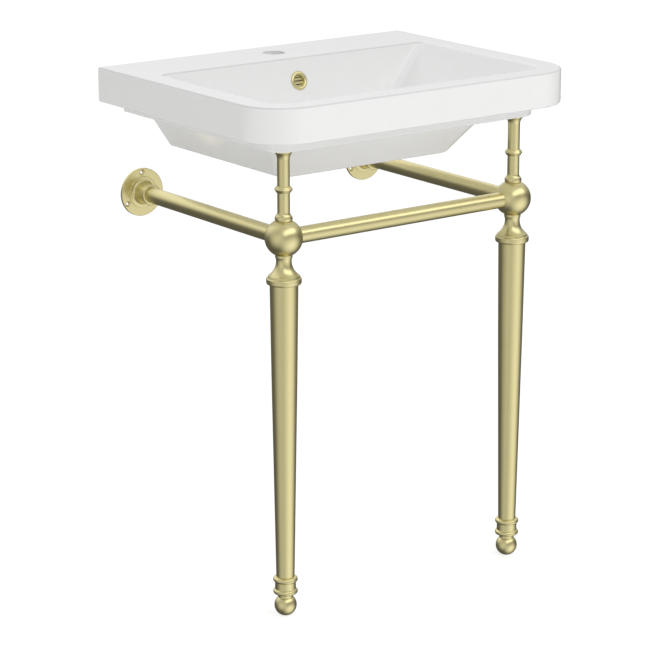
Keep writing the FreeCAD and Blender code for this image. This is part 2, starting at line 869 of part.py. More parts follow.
def make_wall_flange(side, sign):
    """The round wall plate with a raised ring and the sleeve that takes the side rail."""
    corners = [
        ("0", "0"),
        ("flange_radius", "0"),
        ("flange_radius", "flange_plate - flange_edge", "flange_edge_round"),
        ("flange_radius - flange_edge", "flange_plate"),
        ("flange_ring", "flange_plate"),
        ("flange_ring", "flange_ring_tall - flange_ring_edge", "flange_ring_round"),
        ("flange_ring - flange_ring_edge", "flange_ring_tall"),
        ("flange_root + flange_root_in", "flange_ring_tall", "-flange_root_round"),
        ("flange_root", "flange_ring_tall + flange_root_up"),
        ("flange_sleeve", "flange_lip_foot - flange_lip"),
        ("flange_sleeve + flange_lip", "flange_lip_foot", "flange_lip_round"),
        ("flange_sleeve + flange_lip", "flange_length - flange_lip"),
        ("flange_sleeve - flange_lip", "flange_length"),
        ("rail_radius + slip_gap", "flange_length"),
        ("rail_radius + slip_gap", "flange_floor"),
        ("0", "flange_floor"),
    ]
    body = turned(f"{side}_wall_flange", corners)
    flange_holes(body)
    screw = sketch_on(body, "XZ_Plane", "rail_radius - overrun")
    circle(screw, "0", "flange_grub_at", "grub_radius")
    cut(body, screw, "flange_sleeve", backwards=True)
    wall_place(body, sign)


def make_flange_screw(side, sign):
    """The grub screw under the sleeve that locks the side rail."""
    screw = keep(grub_screw(f"{side}_flange_screw"), f"{side}_flange_grub_screw")
    foot = "hub_at - rail_radius - grub_length"
    place(screw, f"{sign} * leg_half_span", from_wall("flange_grub_at"), foot)


def make_leg(side, sign):
    """One whole leg, from its foot to the cup under the basin."""
    make_foot(side, sign)
    make_foot_collar(side, sign)
    make_leg_tube(side, sign)
    make_tie_rod(side, sign)
    make_leg_neck(side, sign)
    make_hub(side, sign)
    make_hub_screws(side, sign)
    make_stem(side, sign)
    make_support_cup(side, sign)
    make_side_rail(side, sign)
    make_wall_flange(side, sign)
    make_flange_screw(side, sign)


def main():
    """Makes every piece, checks it and writes it."""
    make_basin()
    make_overflow_trim()
    for side, sign in SIDES:
        make_leg(side, sign)
    make_front_rail()
    doc.recompute()
    failed = [o.Label for o in doc.Objects if {"Invalid", "Error"} & set(o.State)]
    if failed:
        raise RuntimeError(f"failed: {failed}")
    os.makedirs("parts", exist_ok=True)
    for node in nodes:
        if node.Shape.isNull() or not node.Shape.isValid():
            raise RuntimeError(f"{node.Label} has no valid shape")
        node.Shape.exportStep(f"parts/{node.Label}.step")
        print(node.Label, round(node.Shape.Volume), node.Shape.optimalBoundingBox())


main()
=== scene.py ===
import json
import logging
import math
from dataclasses import dataclass, replace
from enum import Enum

import bmesh
import bpy
import numpy as np
from mathutils import Matrix, Vector


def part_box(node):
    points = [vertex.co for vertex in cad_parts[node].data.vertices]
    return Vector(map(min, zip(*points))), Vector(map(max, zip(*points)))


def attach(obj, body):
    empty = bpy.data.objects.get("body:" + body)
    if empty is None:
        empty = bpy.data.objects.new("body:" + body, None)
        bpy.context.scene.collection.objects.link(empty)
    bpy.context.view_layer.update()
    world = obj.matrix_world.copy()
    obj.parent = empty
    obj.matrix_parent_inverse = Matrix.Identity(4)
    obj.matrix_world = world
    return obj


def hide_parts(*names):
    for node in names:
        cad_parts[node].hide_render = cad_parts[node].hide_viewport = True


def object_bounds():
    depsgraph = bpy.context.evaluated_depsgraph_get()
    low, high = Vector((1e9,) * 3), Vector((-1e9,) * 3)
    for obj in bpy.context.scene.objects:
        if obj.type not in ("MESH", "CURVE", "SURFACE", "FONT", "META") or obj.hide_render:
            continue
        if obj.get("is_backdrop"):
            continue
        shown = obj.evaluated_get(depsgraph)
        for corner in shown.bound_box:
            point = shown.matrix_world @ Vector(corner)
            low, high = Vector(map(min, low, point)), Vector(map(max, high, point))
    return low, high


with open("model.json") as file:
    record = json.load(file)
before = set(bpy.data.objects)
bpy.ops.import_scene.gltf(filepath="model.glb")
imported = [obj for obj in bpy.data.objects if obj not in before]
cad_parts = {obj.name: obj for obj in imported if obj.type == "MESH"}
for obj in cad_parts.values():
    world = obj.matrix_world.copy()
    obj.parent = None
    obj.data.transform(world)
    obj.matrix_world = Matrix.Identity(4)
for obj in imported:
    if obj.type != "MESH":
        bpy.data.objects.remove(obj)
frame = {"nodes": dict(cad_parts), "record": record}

# A ceramic console basin on two turned brass legs, dressed for its portrait.
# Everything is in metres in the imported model's frame: X along the wall, +Y into the wall,
# +Z up, the floor at Z = 0 and the wall at Y = +0.231.

log = logging.getLogger("console_basin")
MM = 0.001
# Points closer than this, in metres, are one point.
WELD = 0.001 * MM
# A cutter runs this many millimetres past what it cuts.
OVERRUN = 1.0
# Faces that meet at more than this angle keep a crisp edge.
CRISP = math.radians(32)
# Nearly all of a noise's values lie between these two.
NOISE_SPAN = {"From_Min": 0.3, "From_Max": 0.7}
# Sizes that the legs and the rails share, in millimetres: the rails' radius, the radius of a
# hole for a grub screw, and the gap round a piece that slips into another.
RAIL = 12.7
GRUB_HOLE = 2.0
SLIP_GAP = 0.05


class Side(Enum):
    """Which half of the washstand a piece belongs to, as the sign of its X."""

    LEFT = -1
    RIGHT = 1

    @property
    def word(self) -> str:
        """The side's name as it starts the name of a node."""
        return self.name.lower()


class Grain(Enum):
    """The axis that a brushed piece was turned about, which its brush lines run round."""

    UPRIGHT = 2
    ALONG_WALL = 0
    OUT_OF_WALL = 1


# Materials


def linear(code: str) -> tuple[float, float, float, float]:
    """Turns a colour written as sRGB hex into Blender's linear RGBA.

    Args:
        code: the colour, such as "#E7DDA5".

    Returns:
        Red, green, blue and an alpha of one.
    """
    srgb = np.array([int(code[i : i + 2], 16) for i in (1, 3, 5)]) / 255
    flat = np.where(srgb <= 0.04045, srgb / 12.92, ((srgb + 0.055) / 1.055) ** 2.4)
    return (*flat.tolist(), 1.0)


def add(
    tree: bpy.types.NodeTree, kind: str, settings: dict | None = None, **inputs: object
) -> bpy.types.Node:
    """Adds a node, sets its properties and fills or links its inputs.

    Args:
        tree: the node tree that gets the node.
        kind: the node's type, without the leading "ShaderNode".
        settings: properties of the node itself.
        inputs: input sockets by name, with _ for a blank, or by number as i0, i1 and so on.
            A socket of another node is linked, and anything else becomes the value.

    Returns:
        The new node.
    """
    node = tree.nodes.new(f"ShaderNode{kind}")
    for name, setting in (settings or {}).items():
        setattr(node, name, setting)
    for name, given in inputs.items():
        key = int(name[1:]) if name[1:].isdigit() else name.replace("_", " ")
        if isinstance(given, bpy.types.NodeSocket):
            tree.links.new(given, node.inputs[key])
        else:
            node.inputs[key].default_value = given
    return node


def blank(
    name: str,
) -> tuple[bpy.types.Material, bpy.types.NodeTree, bpy.types.NodeSocket]:
    """Starts a node material with nothing in it but its piece's Object coordinates.

    Args:
        name: the material's name.

    Returns:
        The material, its tree and the coordinates' socket.
    """
    material = bpy.data.materials.new(name)
    material.use_nodes = True
    tree = material.node_tree
    tree.nodes.clear()
    return material, tree, add(tree, "TexCoord").outputs["Object"]


@dataclass(frozen=True)
class GlazedFireclay:
    """White glaze sprayed and fired on fireclay, with a bare back.

    To the eye it is a clean soft white with a wet gloss, and mirror images that wander a
    little because the glaze flows before it sets. A fine line of darker grey is painted along
    the rim's outer edge and the bowl's back edge. The face that goes against the wall is
    wiped before firing, and stays buff and dry.

    The line is told by place: a narrow band of heights that starts just below the level rim,
    outside the box that holds the bowl. Places are in metres.
    """

    rim: float
    name: str = "glazed_fireclay_white"
    even: str = "#F1F1F1"
    thick: str = "#EEEEED"
    # The darker grey painted in a fine line along the rim's outer edge and the bowl's back edge.
    edge_line_grey: str = "#D9D9D8"
    bare: str = "#DDD5C6"
    grog: str = "#C4B8A3"
    gloss: tuple[float, float] = (0.072, 0.117)
    bare_roughness: float = 0.85
    ior: float = 1.52
    flow_mm: float = 38.0
    ripple_mm: float = 5.0
    grog_mm: float = 1.4
    bare_from: float = 0.2309
    line_mm: float = 2.2
    line_below_mm: float = 0.05
    bowl_half: float = 0.265
    bowl_middle: float = -0.0415
    bowl_reach: float = 0.1535

    def material(self) -> bpy.types.Material:
        """Builds the material.

        Returns:
            The glaze, on Object coordinates, with the line and the bare back by place.
        """
        material, tree, place = blank(self.name)
        flow, ripple, grain = (
            add(tree, "TexNoise", Vector=place, Scale=1000 / size, Detail=detail).outputs["Fac"]
            for size, detail in ((self.flow_mm, 2.0), (self.ripple_mm, 1.0), (self.grog_mm, 3.0))
        )
        x, y, z = add(tree, "SeparateXYZ", Vector=place).outputs
        bare = add(tree, "Math", {"operation": "GREATER_THAN"}, i0=y, i1=self.bare_from)
        reach = self.line_mm / 2 * MM
        across, along, line = (
            add(tree, "Math", {"operation": "COMPARE"}, i0=way, i1=middle, i2=half)
            for way, middle, half in (
                (x, 0.0, self.bowl_half),
                (y, self.bowl_middle, self.bowl_reach),
                (z, self.rim - reach, reach - self.line_below_mm * MM),
            )
        )
        bowl = add(
            tree, "Math", {"operation": "MULTIPLY"},
            i0=across.outputs["Value"], i1=along.outputs["Value"],
        )
        # Painted grey line: where this mask is one, the glaze's colour turns darker grey along the
        # rim's outer edge and the bowl's back edge.
        grey_line_mask = add(
            tree, "Math", {"operation": "SUBTRACT", "use_clamp": True},
            i0=line.outputs["Value"], i1=bowl.outputs["Value"],
        )
        even, clay = (
            add(
                tree, "Mix", {"data_type": "RGBA"}, i0=noise, i6=linear(one), i7=linear(other)
            )
            for noise, one, other in (
                (flow, self.even, self.thick), (grain, self.bare, self.grog)
            )
        )
        glaze = add(
            tree, "Mix", {"data_type": "RGBA"}, i0=grey_line_mask.outputs["Value"],
            i6=even.outputs[2], i7=linear(self.edge_line_grey),
        )
        tone = add(
            tree, "Mix", {"data_type": "RGBA"}, i0=bare.outputs["Value"],
            i6=glaze.outputs[2], i7=clay.outputs[2],
        )
        gloss = add(
            tree, "MapRange", Value=flow, **NOISE_SPAN,
            To_Min=self.gloss[0], To_Max=self.gloss[1],
        )
        rough = add(
            tree, "Mix", {"data_type": "FLOAT"}, i0=bare.outputs["Value"],
            i2=gloss.outputs["Result"], i3=self.bare_roughness,
        )
        waves = add(tree, "Bump", Strength=0.12, Distance=0.3 * MM, Height=flow)
        peel = add(
            tree, "Bump", Strength=0.06, Distance=0.05 * MM, Height=ripple,
            Normal=waves.outputs["Normal"],
        )
        body = add(
            tree, "BsdfPrincipled", Base_Color=tone.outputs[2], Roughness=rough.outputs[0],
            IOR=self.ior, Normal=peel.outputs["Normal"],
        )
        add(tree, "OutputMaterial", Surface=body.outputs["BSDF"])
        return material


@dataclass(frozen=True)
class BrushedBrass:
    """Pale satin brass, brushed on the lathe and lacquered.

    To the eye it is a greenish straw metal. Fine rings run round each turned piece, which
    spread the highlights along it, and its colour drifts a little from ring to ring.
    """

    grain: Grain
    light: str = "#DDD3A0"
    deep: str = "#D3C994"
    satin: tuple[float, float] = (0.28, 0.33)
    line_mm: float = 0.6
    line_long_mm: float = 71.4
    drift_mm: float = 45.0
    drift_share: float = 0.45

    def material(self) -> bpy.types.Material:
        """Builds the material for pieces turned about the finish's axis.

        The brush lines are noise drawn out into rings: the coordinates are scaled up along
        the turning axis only. Real lines are a tenth of a millimetre apart. Here they are
        as coarse as it takes for them to show.

        Returns:
            The brass, on Object coordinates.
        """
        material, tree, place = blank(f"brushed_brass_{self.grain.name.lower()}")
        stretch = [1000 / self.line_long_mm] * 3
        stretch[self.grain.value] = 1000 / self.line_mm
        ringed = add(tree, "Mapping", Vector=place, Scale=stretch)
        lines = add(tree, "TexNoise", Vector=ringed.outputs["Vector"], Scale=1.0, Detail=3.0)
        drift = add(tree, "TexNoise", Vector=place, Scale=1000 / self.drift_mm, Detail=2.0)
        both = add(
            tree, "Mix", {"data_type": "FLOAT"}, i0=self.drift_share,
            i2=lines.outputs["Fac"], i3=drift.outputs["Fac"],
        )
        tone = add(
            tree, "Mix", {"data_type": "RGBA"}, i0=both.outputs[0],
            i6=linear(self.deep), i7=linear(self.light),
        )
        satin = add(
            tree, "MapRange", Value=lines.outputs["Fac"], **NOISE_SPAN,
            To_Min=self.satin[0], To_Max=self.satin[1],
        )
        brushing = add(
            tree, "Bump", Strength=0.04, Distance=0.02 * MM, Height=lines.outputs["Fac"]
        )
        body = add(
            tree, "BsdfPrincipled", Base_Color=tone.outputs[2], Metallic=1.0,
            Roughness=satin.outputs["Result"], Normal=brushing.outputs["Normal"],
        )
        add(tree, "OutputMaterial", Surface=body.outputs["BSDF"])
        return material


@dataclass(frozen=True)
class ZincPlatedSteel:
    """Bright zinc plating on machined steel.

    To the eye it is a cool grey metal with a faint bluish bloom and soft highlights.
    """

    name: str = "zinc_plated_steel"
    light: str = "#C3C6C9"
    bloom: str = "#AEB4BC"
    satin: tuple[float, float] = (0.24, 0.40)
    bloom_mm: float = 7.0

    def material(self) -> bpy.types.Material:
        """Builds the material.

        Returns:
            The plating, on Object coordinates.
        """
        material, tree, place = blank(self.name)
        bloom = add(tree, "TexNoise", Vector=place, Scale=1000 / self.bloom_mm, Detail=4.0)
        tone = add(
            tree, "Mix", {"data_type": "RGBA"}, i0=bloom.outputs["Fac"],
            i6=linear(self.light), i7=linear(self.bloom),
        )
        satin = add(
            tree, "MapRange", Value=bloom.outputs["Fac"],
            To_Min=self.satin[0], To_Max=self.satin[1],
        )
        body = add(
            tree, "BsdfPrincipled", Base_Color=tone.outputs[2], Metallic=1.0,
            Roughness=satin.outputs["Result"],
        )
        add(tree, "OutputMaterial", Surface=body.outputs["BSDF"])
        return material


@dataclass(frozen=True)
class MouldedRubber:
    """Black nitrile rubber, moulded.

    To the eye it is nearly black and matt, with a dusty bloom and a fine pebbled skin.
    """

    name: str = "moulded_rubber_black"
    dark: str = "#1B1B1C"
    dusty: str = "#2B2B2B"
    roughness: float = 0.72
    pebble_mm: float = 0.8

    def material(self) -> bpy.types.Material:
        """Builds the material.

        Returns:
            The rubber, on Object coordinates.
        """
        material, tree, place = blank(self.name)
        pebble = add(tree, "TexNoise", Vector=place, Scale=1000 / self.pebble_mm, Detail=2.0)
        tone = add(
            tree, "Mix", {"data_type": "RGBA"}, i0=pebble.outputs["Fac"],
            i6=linear(self.dark), i7=linear(self.dusty),
        )
        skin = add(tree, "Bump", Strength=0.3, Distance=0.05 * MM, Height=pebble.outputs["Fac"])
        body = add(
            tree, "BsdfPrincipled", Base_Color=tone.outputs[2], Roughness=self.roughness,
            Normal=skin.outputs["Normal"],
        )
        add(tree, "OutputMaterial", Surface=body.outputs["BSDF"])
        return material


# Shapes


def linked(name: str, data: bpy.types.ID) -> bpy.types.Object:
    """Makes an object of some data and links it into the scene.

    Args:
        name: the object's name.
        data: its mesh, light or camera.

    Returns:
        The object, at the origin.
    """
    thing = bpy.data.objects.new(name, data)
    bpy.context.scene.collection.objects.link(thing)
    return thing


def drawn(corners: list[tuple[float, ...]], closed: bool, gap: float = 0.2) -> np.ndarray:
    """Draws a profile through its corners as closely spaced points.

    An edge is straight, or an arc of the radius that its first corner gives. The arc's
    points are the chord's middle, plus R sin(t) along the chord, plus R cos(t) less the
    centre's distance from the chord, to the right of it. A negative radius is hollow.

    Args:
        corners: (radius, height) or (radius, height, arc radius), in millimetres.
        closed: whether the last corner joins the first.
        gap: how far apart the points are, in millimetres.

    Returns:
        The points, one a row.
    """
    runs = []
    ends = corners[1:] + corners[:1] if closed else corners[1:]
    for corner, after in zip(corners, ends):
        start, end = np.array(corner[:2], float), np.array(after[:2], float)
        chord = end - start
        length = np.linalg.norm(chord)
        along = chord / length
        aside = np.array([along[1], -along[0]])
        steps = np.linspace(0, 1, max(2, math.ceil(length / gap)), endpoint=False)[:, None]
        if len(corner) == 2:
            runs.append(start + chord * steps)
            continue
        radius = abs(corner[2])
        reach = math.asin(length / 2 / radius)
        turn = (2 * steps - 1) * reach
        bulge = radius * (np.cos(turn) - math.cos(reach)) * math.copysign(1, corner[2])
        runs.append((start + end) / 2 + along * radius * np.sin(turn) + aside * bulge)
    if not closed:
        runs.append(np.array([corners[-1][:2]], float))
    return np.concatenate(runs)


def softened(
    line: np.ndarray, reach: float, closed: bool, gap: float = 0.1, across: int = 6
) -> np.ndarray:
    """Breaks a profile's corners as polishing does.

    The line is spaced out evenly, and each point becomes the mean of its neighbours within
    the reach, twice over. An open line is first carried on past its ends, so they stay.

    Args:
        line: the points, one a row.
        reach: how far along the line a corner is worn, in millimetres.
        closed: whether the line is a loop.
        gap: the widest way between two even points, in millimetres.
        across: the fewest of them within the reach.

    Returns:
        The softer line, with few points on its straights and many in its bends.
    """
    loop = np.vstack([line, line[:1]]) if closed else line
    length = np.append(0, np.cumsum(np.linalg.norm(np.diff(loop, axis=0), axis=1)))
    spacing = min(gap, reach / across)
    places = np.linspace(0, length[-1], math.ceil(length[-1] / spacing), endpoint=not closed)
    even = np.stack([np.interp(places, length, loop[:, i]) for i in (0, 1)], axis=1)
    half = max(1, round(reach / spacing / 2))
    kernel = np.ones(2 * half + 1) / (2 * half + 1)
    kernel = np.convolve(kernel, kernel)
    margin = 2 * half
    if closed:
        padded = np.vstack([even[-margin:], even, even[:margin]])
    else:
        before = 2 * even[0] - even[margin:0:-1]
        padded = np.vstack([before, even, 2 * even[-1] - even[-2 : -margin - 2 : -1]])
    soft = np.stack([np.convolve(padded[:, i], kernel, "valid") for i in (0, 1)], axis=1)
    if not closed:
        soft[[0, -1]] = even[[0, -1]]
    return thinned(soft, closed)


def thinned(line: np.ndarray, closed: bool, bend: float = 9.0, gap: float = 12.0) -> np.ndarray:
    """Keeps few points on the straights of a line and many in its bends.

    A running measure grows by one for each bend of so many degrees and for each gap in
    length, and the points kept are where it passes a whole number.

    Args:
        line: evenly spaced points, one a row.
        closed: whether the line is a loop.
        bend: the degrees between two points.
        gap: the longest way between two points, in millimetres.

    Returns:
        The points kept.
    """
    loop = np.vstack([line, line[:1]]) if closed else line
    steps = np.diff(loop, axis=0)
    headings = np.unwrap(np.arctan2(steps[:, 1], steps[:, 0]))
    turned = np.degrees(np.abs(np.diff(headings, prepend=headings[:1])))
    measure = np.append(0, np.cumsum(turned / bend + np.linalg.norm(steps, axis=1) / gap))
    count = math.ceil(measure[-1]) + 1
    marks = np.linspace(0, measure[-1], count, endpoint=not closed)
    return np.stack([np.interp(marks, measure, loop[:, i]) for i in (0, 1)], axis=1)


def round_hole(
    radius: float, start: float = 0.0, sweep: float = 360.0, count: int = 48
) -> np.ndarray:
    """Points round a circle or along an arc of it.

    Args:
        radius: the circle's radius.
        start: the angle of the first point, in degrees.
        sweep: how far the points go round, in degrees.
        count: how many points there are.

    Returns:
        The points, anticlockwise, one a row.
    """
    angle = np.radians(start + np.linspace(0, sweep, count, endpoint=sweep < 360))
    return radius * np.column_stack([np.cos(angle), np.sin(angle)])


def oblong(half: float, foot: float, top: float) -> np.ndarray:
    """The corners of an upright oblong, anticlockwise, by half its width, its foot and its top."""
    return np.array([(-half, foot), (half, foot), (half, top), (-half, top)])


def skin(name: str, grid: np.ndarray, wrap_rows: bool) -> bpy.types.Mesh:
    """Makes a mesh from a grid of points whose columns run round.

    Args:
        name: the mesh's name.
        grid: (rows, columns, 3) in metres. The last column joins the first.
        wrap_rows: whether the last row joins the first as well.

    Returns:
        The mesh, with points that lie together merged, so that poles are closed.
    """
    rows, columns = grid.shape[:2]
    index = np.arange(rows * columns).reshape(rows, columns)
    low, high = (index, np.roll(index, -1, axis=0)) if wrap_rows else (index[:-1], index[1:])
    ring = [low, np.roll(low, -1, axis=1), np.roll(high, -1, axis=1), high]
    quads = np.stack(ring, axis=-1).reshape(-1, 4)
    mesh = bpy.data.meshes.new(name)
    mesh.from_pydata(grid.reshape(-1, 3), [], quads)
    work = bmesh.new()
    work.from_mesh(mesh)
    bmesh.ops.remove_doubles(work, verts=work.verts, dist=WELD)
    work.to_mesh(mesh)
    work.free()
    return mesh


@dataclass(frozen=True)
class Spindle:
    """The axis that a piece is turned about: a point on it and the way it points."""

    origin: tuple[float, float, float]
    grain: Grain = Grain.UPRIGHT
    lean: float = 0.0

    def turn(self) -> np.ndarray:
        """The rotation that takes +Z to the axis.

        Returns:
            A 3 by 3 matrix. It takes +Y up where the axis points out of the wall, and leaves
            it as it is otherwise.
        """
        if self.grain is Grain.ALONG_WALL:
            return np.array(Matrix.Rotation(math.pi / 2, 3, "Y"))
        if self.grain is Grain.OUT_OF_WALL:
            return np.array(Matrix.Rotation(math.pi / 2 - self.lean, 3, "X"))
        return np.eye(3)

    def placed(self, points: np.ndarray) -> np.ndarray:
        """Points given in millimetres about the spindle, in metres in the scene."""
        return points * MM @ self.turn().T + np.array(self.origin)

    def moved(self, across: float, up: float) -> "Spindle":
        """The same spindle, moved sideways in its own plane by so many millimetres."""
        return replace(self, origin=tuple(self.placed(np.array((across, up, 0.0)))))

    def grid(self, radius: np.ndarray, height: np.ndarray, columns: int) -> np.ndarray:
        """Carries a profile round the axis.

        A point is radius times (cosine, sine) of its angle, and its height along the axis.

        Args:
            radius: the profile's radii in millimetres, as a column or a whole grid.
            height: its heights, likewise.
            columns: how many steps go round.

        Returns:
            (rows, columns, 3) in metres.
        """
        angle = np.linspace(0, 2 * np.pi, columns, endpoint=False)[None, :]
        around = radius * np.cos(angle), radius * np.sin(angle), height + 0 * angle
        return self.placed(np.stack(around, axis=-1))

    def turned(
        self, name: str, corners: list[tuple[float, ...]], soft: float = 0.5, columns: int = 80
    ) -> bpy.types.Mesh:
        """Turns a piece from its profile.

        Args:
            name: the mesh's name.
            corners: the profile, anticlockwise with the radius to the right. It is closed,
                unless it starts and ends on the axis.
            soft: how far its corners are worn, in millimetres.
            columns: how many steps go round.

        Returns:
            The mesh.
        """
        closed = corners[0][0] > 0 or corners[-1][0] > 0
        line = softened(drawn(corners, closed), soft, closed)
        return skin(name, self.grid(line[:, :1], line[:, 1:], columns), closed)

    def bar(self, name: str, outline: np.ndarray, foot: float, top: float) -> bpy.types.Mesh:
        """A straight bar of one convex cross-section, closed at both ends.

        Args:
            name: the mesh's name.
            outline: points round the section, anticlockwise, in millimetres.
            foot: the height along the axis that the bar starts at.
            top: the height that it ends at.

        Returns:
            The mesh.
        """
        middle = outline.mean(axis=0) + 0 * outline
        rings = np.stack([middle, outline, outline, middle])
        heights = np.array([foot, foot, top, top])[:, None, None] + 0 * rings[:, :, :1]
        return skin(name, self.placed(np.concatenate([rings, heights], axis=-1)), False)

    def threaded(
        self, name: str, radius: float, pitch: float, foot: float, top: float,
        depth: float = 0.61, bevel: float = 1.1, rows: int = 8, columns: int = 40,
    ) -> bpy.types.Mesh:
        """A rod with a screw thread and bevelled ends.

        The radius falls from the crest by the thread's depth times a triangle wave of
        height over pitch less turns, and within the bevel it falls with the distance left
        to the end.

        Args:
            name: the mesh's name.
            radius: the crest's radius.
            pitch: the height of one turn.
            foot: the height that the rod starts at.
            top: the height that it ends at.
            depth: the thread's depth in pitches. A metric thread's is 0.61.
            bevel: how far the ends are bevelled, in pitches.
            rows: how many rows of points one turn is high.
            columns: how many steps go round.

        Returns:
            The mesh.
        """
        height = np.linspace(foot, top, math.ceil((top - foot) / pitch * rows))[:, None]
        turns = np.linspace(0, 1, columns, endpoint=False)[None, :]
        wave = np.abs(2 * ((height / pitch - turns) % 1) - 1)
        left = np.minimum(height - foot, top - height)
        body = np.minimum(radius - depth * pitch * wave, radius - bevel * pitch + left)
        ends = np.zeros((1, columns))
        radii = np.vstack([ends, body, ends])
        heights = np.vstack([ends + foot, height + ends, ends + top])
        return skin(name, self.grid(radii, heights, columns), False)


def piece(
    mesh: bpy.types.Mesh, finish: bpy.types.Material, body: str, slot: str, *nodes: str
) -> bpy.types.Object:
    """Puts a finished mesh into the scene on its body.

    Args:
        mesh: the mesh, already in place.
        finish: its material.
        body: the CAD body that it rides on.
        slot: the record's material slot. It is not used.
        nodes: the CAD nodes that it stands for.

    Returns:
        The object.
    """
    thing = linked(mesh.name, mesh)
    mesh.materials.append(finish)
    mesh.shade_smooth()
    mesh.set_sharp_from_angle(angle=CRISP)
    thing.modifiers.new("flat_faces_lead", "WEIGHTED_NORMAL").keep_sharp = True
    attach(thing, body)
    if nodes:
        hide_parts(*nodes)
    log.info("%s: %d faces on %s", thing.name, len(mesh.polygons), body)
    return thing


def carved(mesh: bpy.types.Mesh, cutters: list[bpy.types.Mesh]) -> bpy.types.Mesh:
    """Cuts one mesh by others in turn.

    Args:
        mesh: what is cut.
        cutters: closed meshes that are taken away from it.

    Returns:
        The mesh that is left, under the same name.
    """
    thing = linked("blank", mesh)
    tools = [linked("cutter", cutter) for cutter in cutters]
    for tool in tools:
        cut = thing.modifiers.new("cut", "BOOLEAN")
        cut.operation = "DIFFERENCE"
        cut.solver = "EXACT"
        cut.object = tool
    graph = bpy.context.evaluated_depsgraph_get()
    left = bpy.data.meshes.new_from_object(thing.evaluated_get(graph))
    for used in [thing, *tools]:
        bpy.data.objects.remove(used)
    name = mesh.name
    bpy.data.meshes.remove(mesh)
    for cutter in cutters:
        bpy.data.meshes.remove(cutter)
    left.name = name
    return left


@dataclass(frozen=True)
class Finishes:
    """The finishes of the washstand's four materials, with a brass for each grain."""

    glaze: bpy.types.Material
    steel: bpy.types.Material
    rubber: bpy.types.Material
    brass: dict[Grain, bpy.types.Material]


# Pieces. Radii and heights are in millimetres, as on a drawing of the piece.


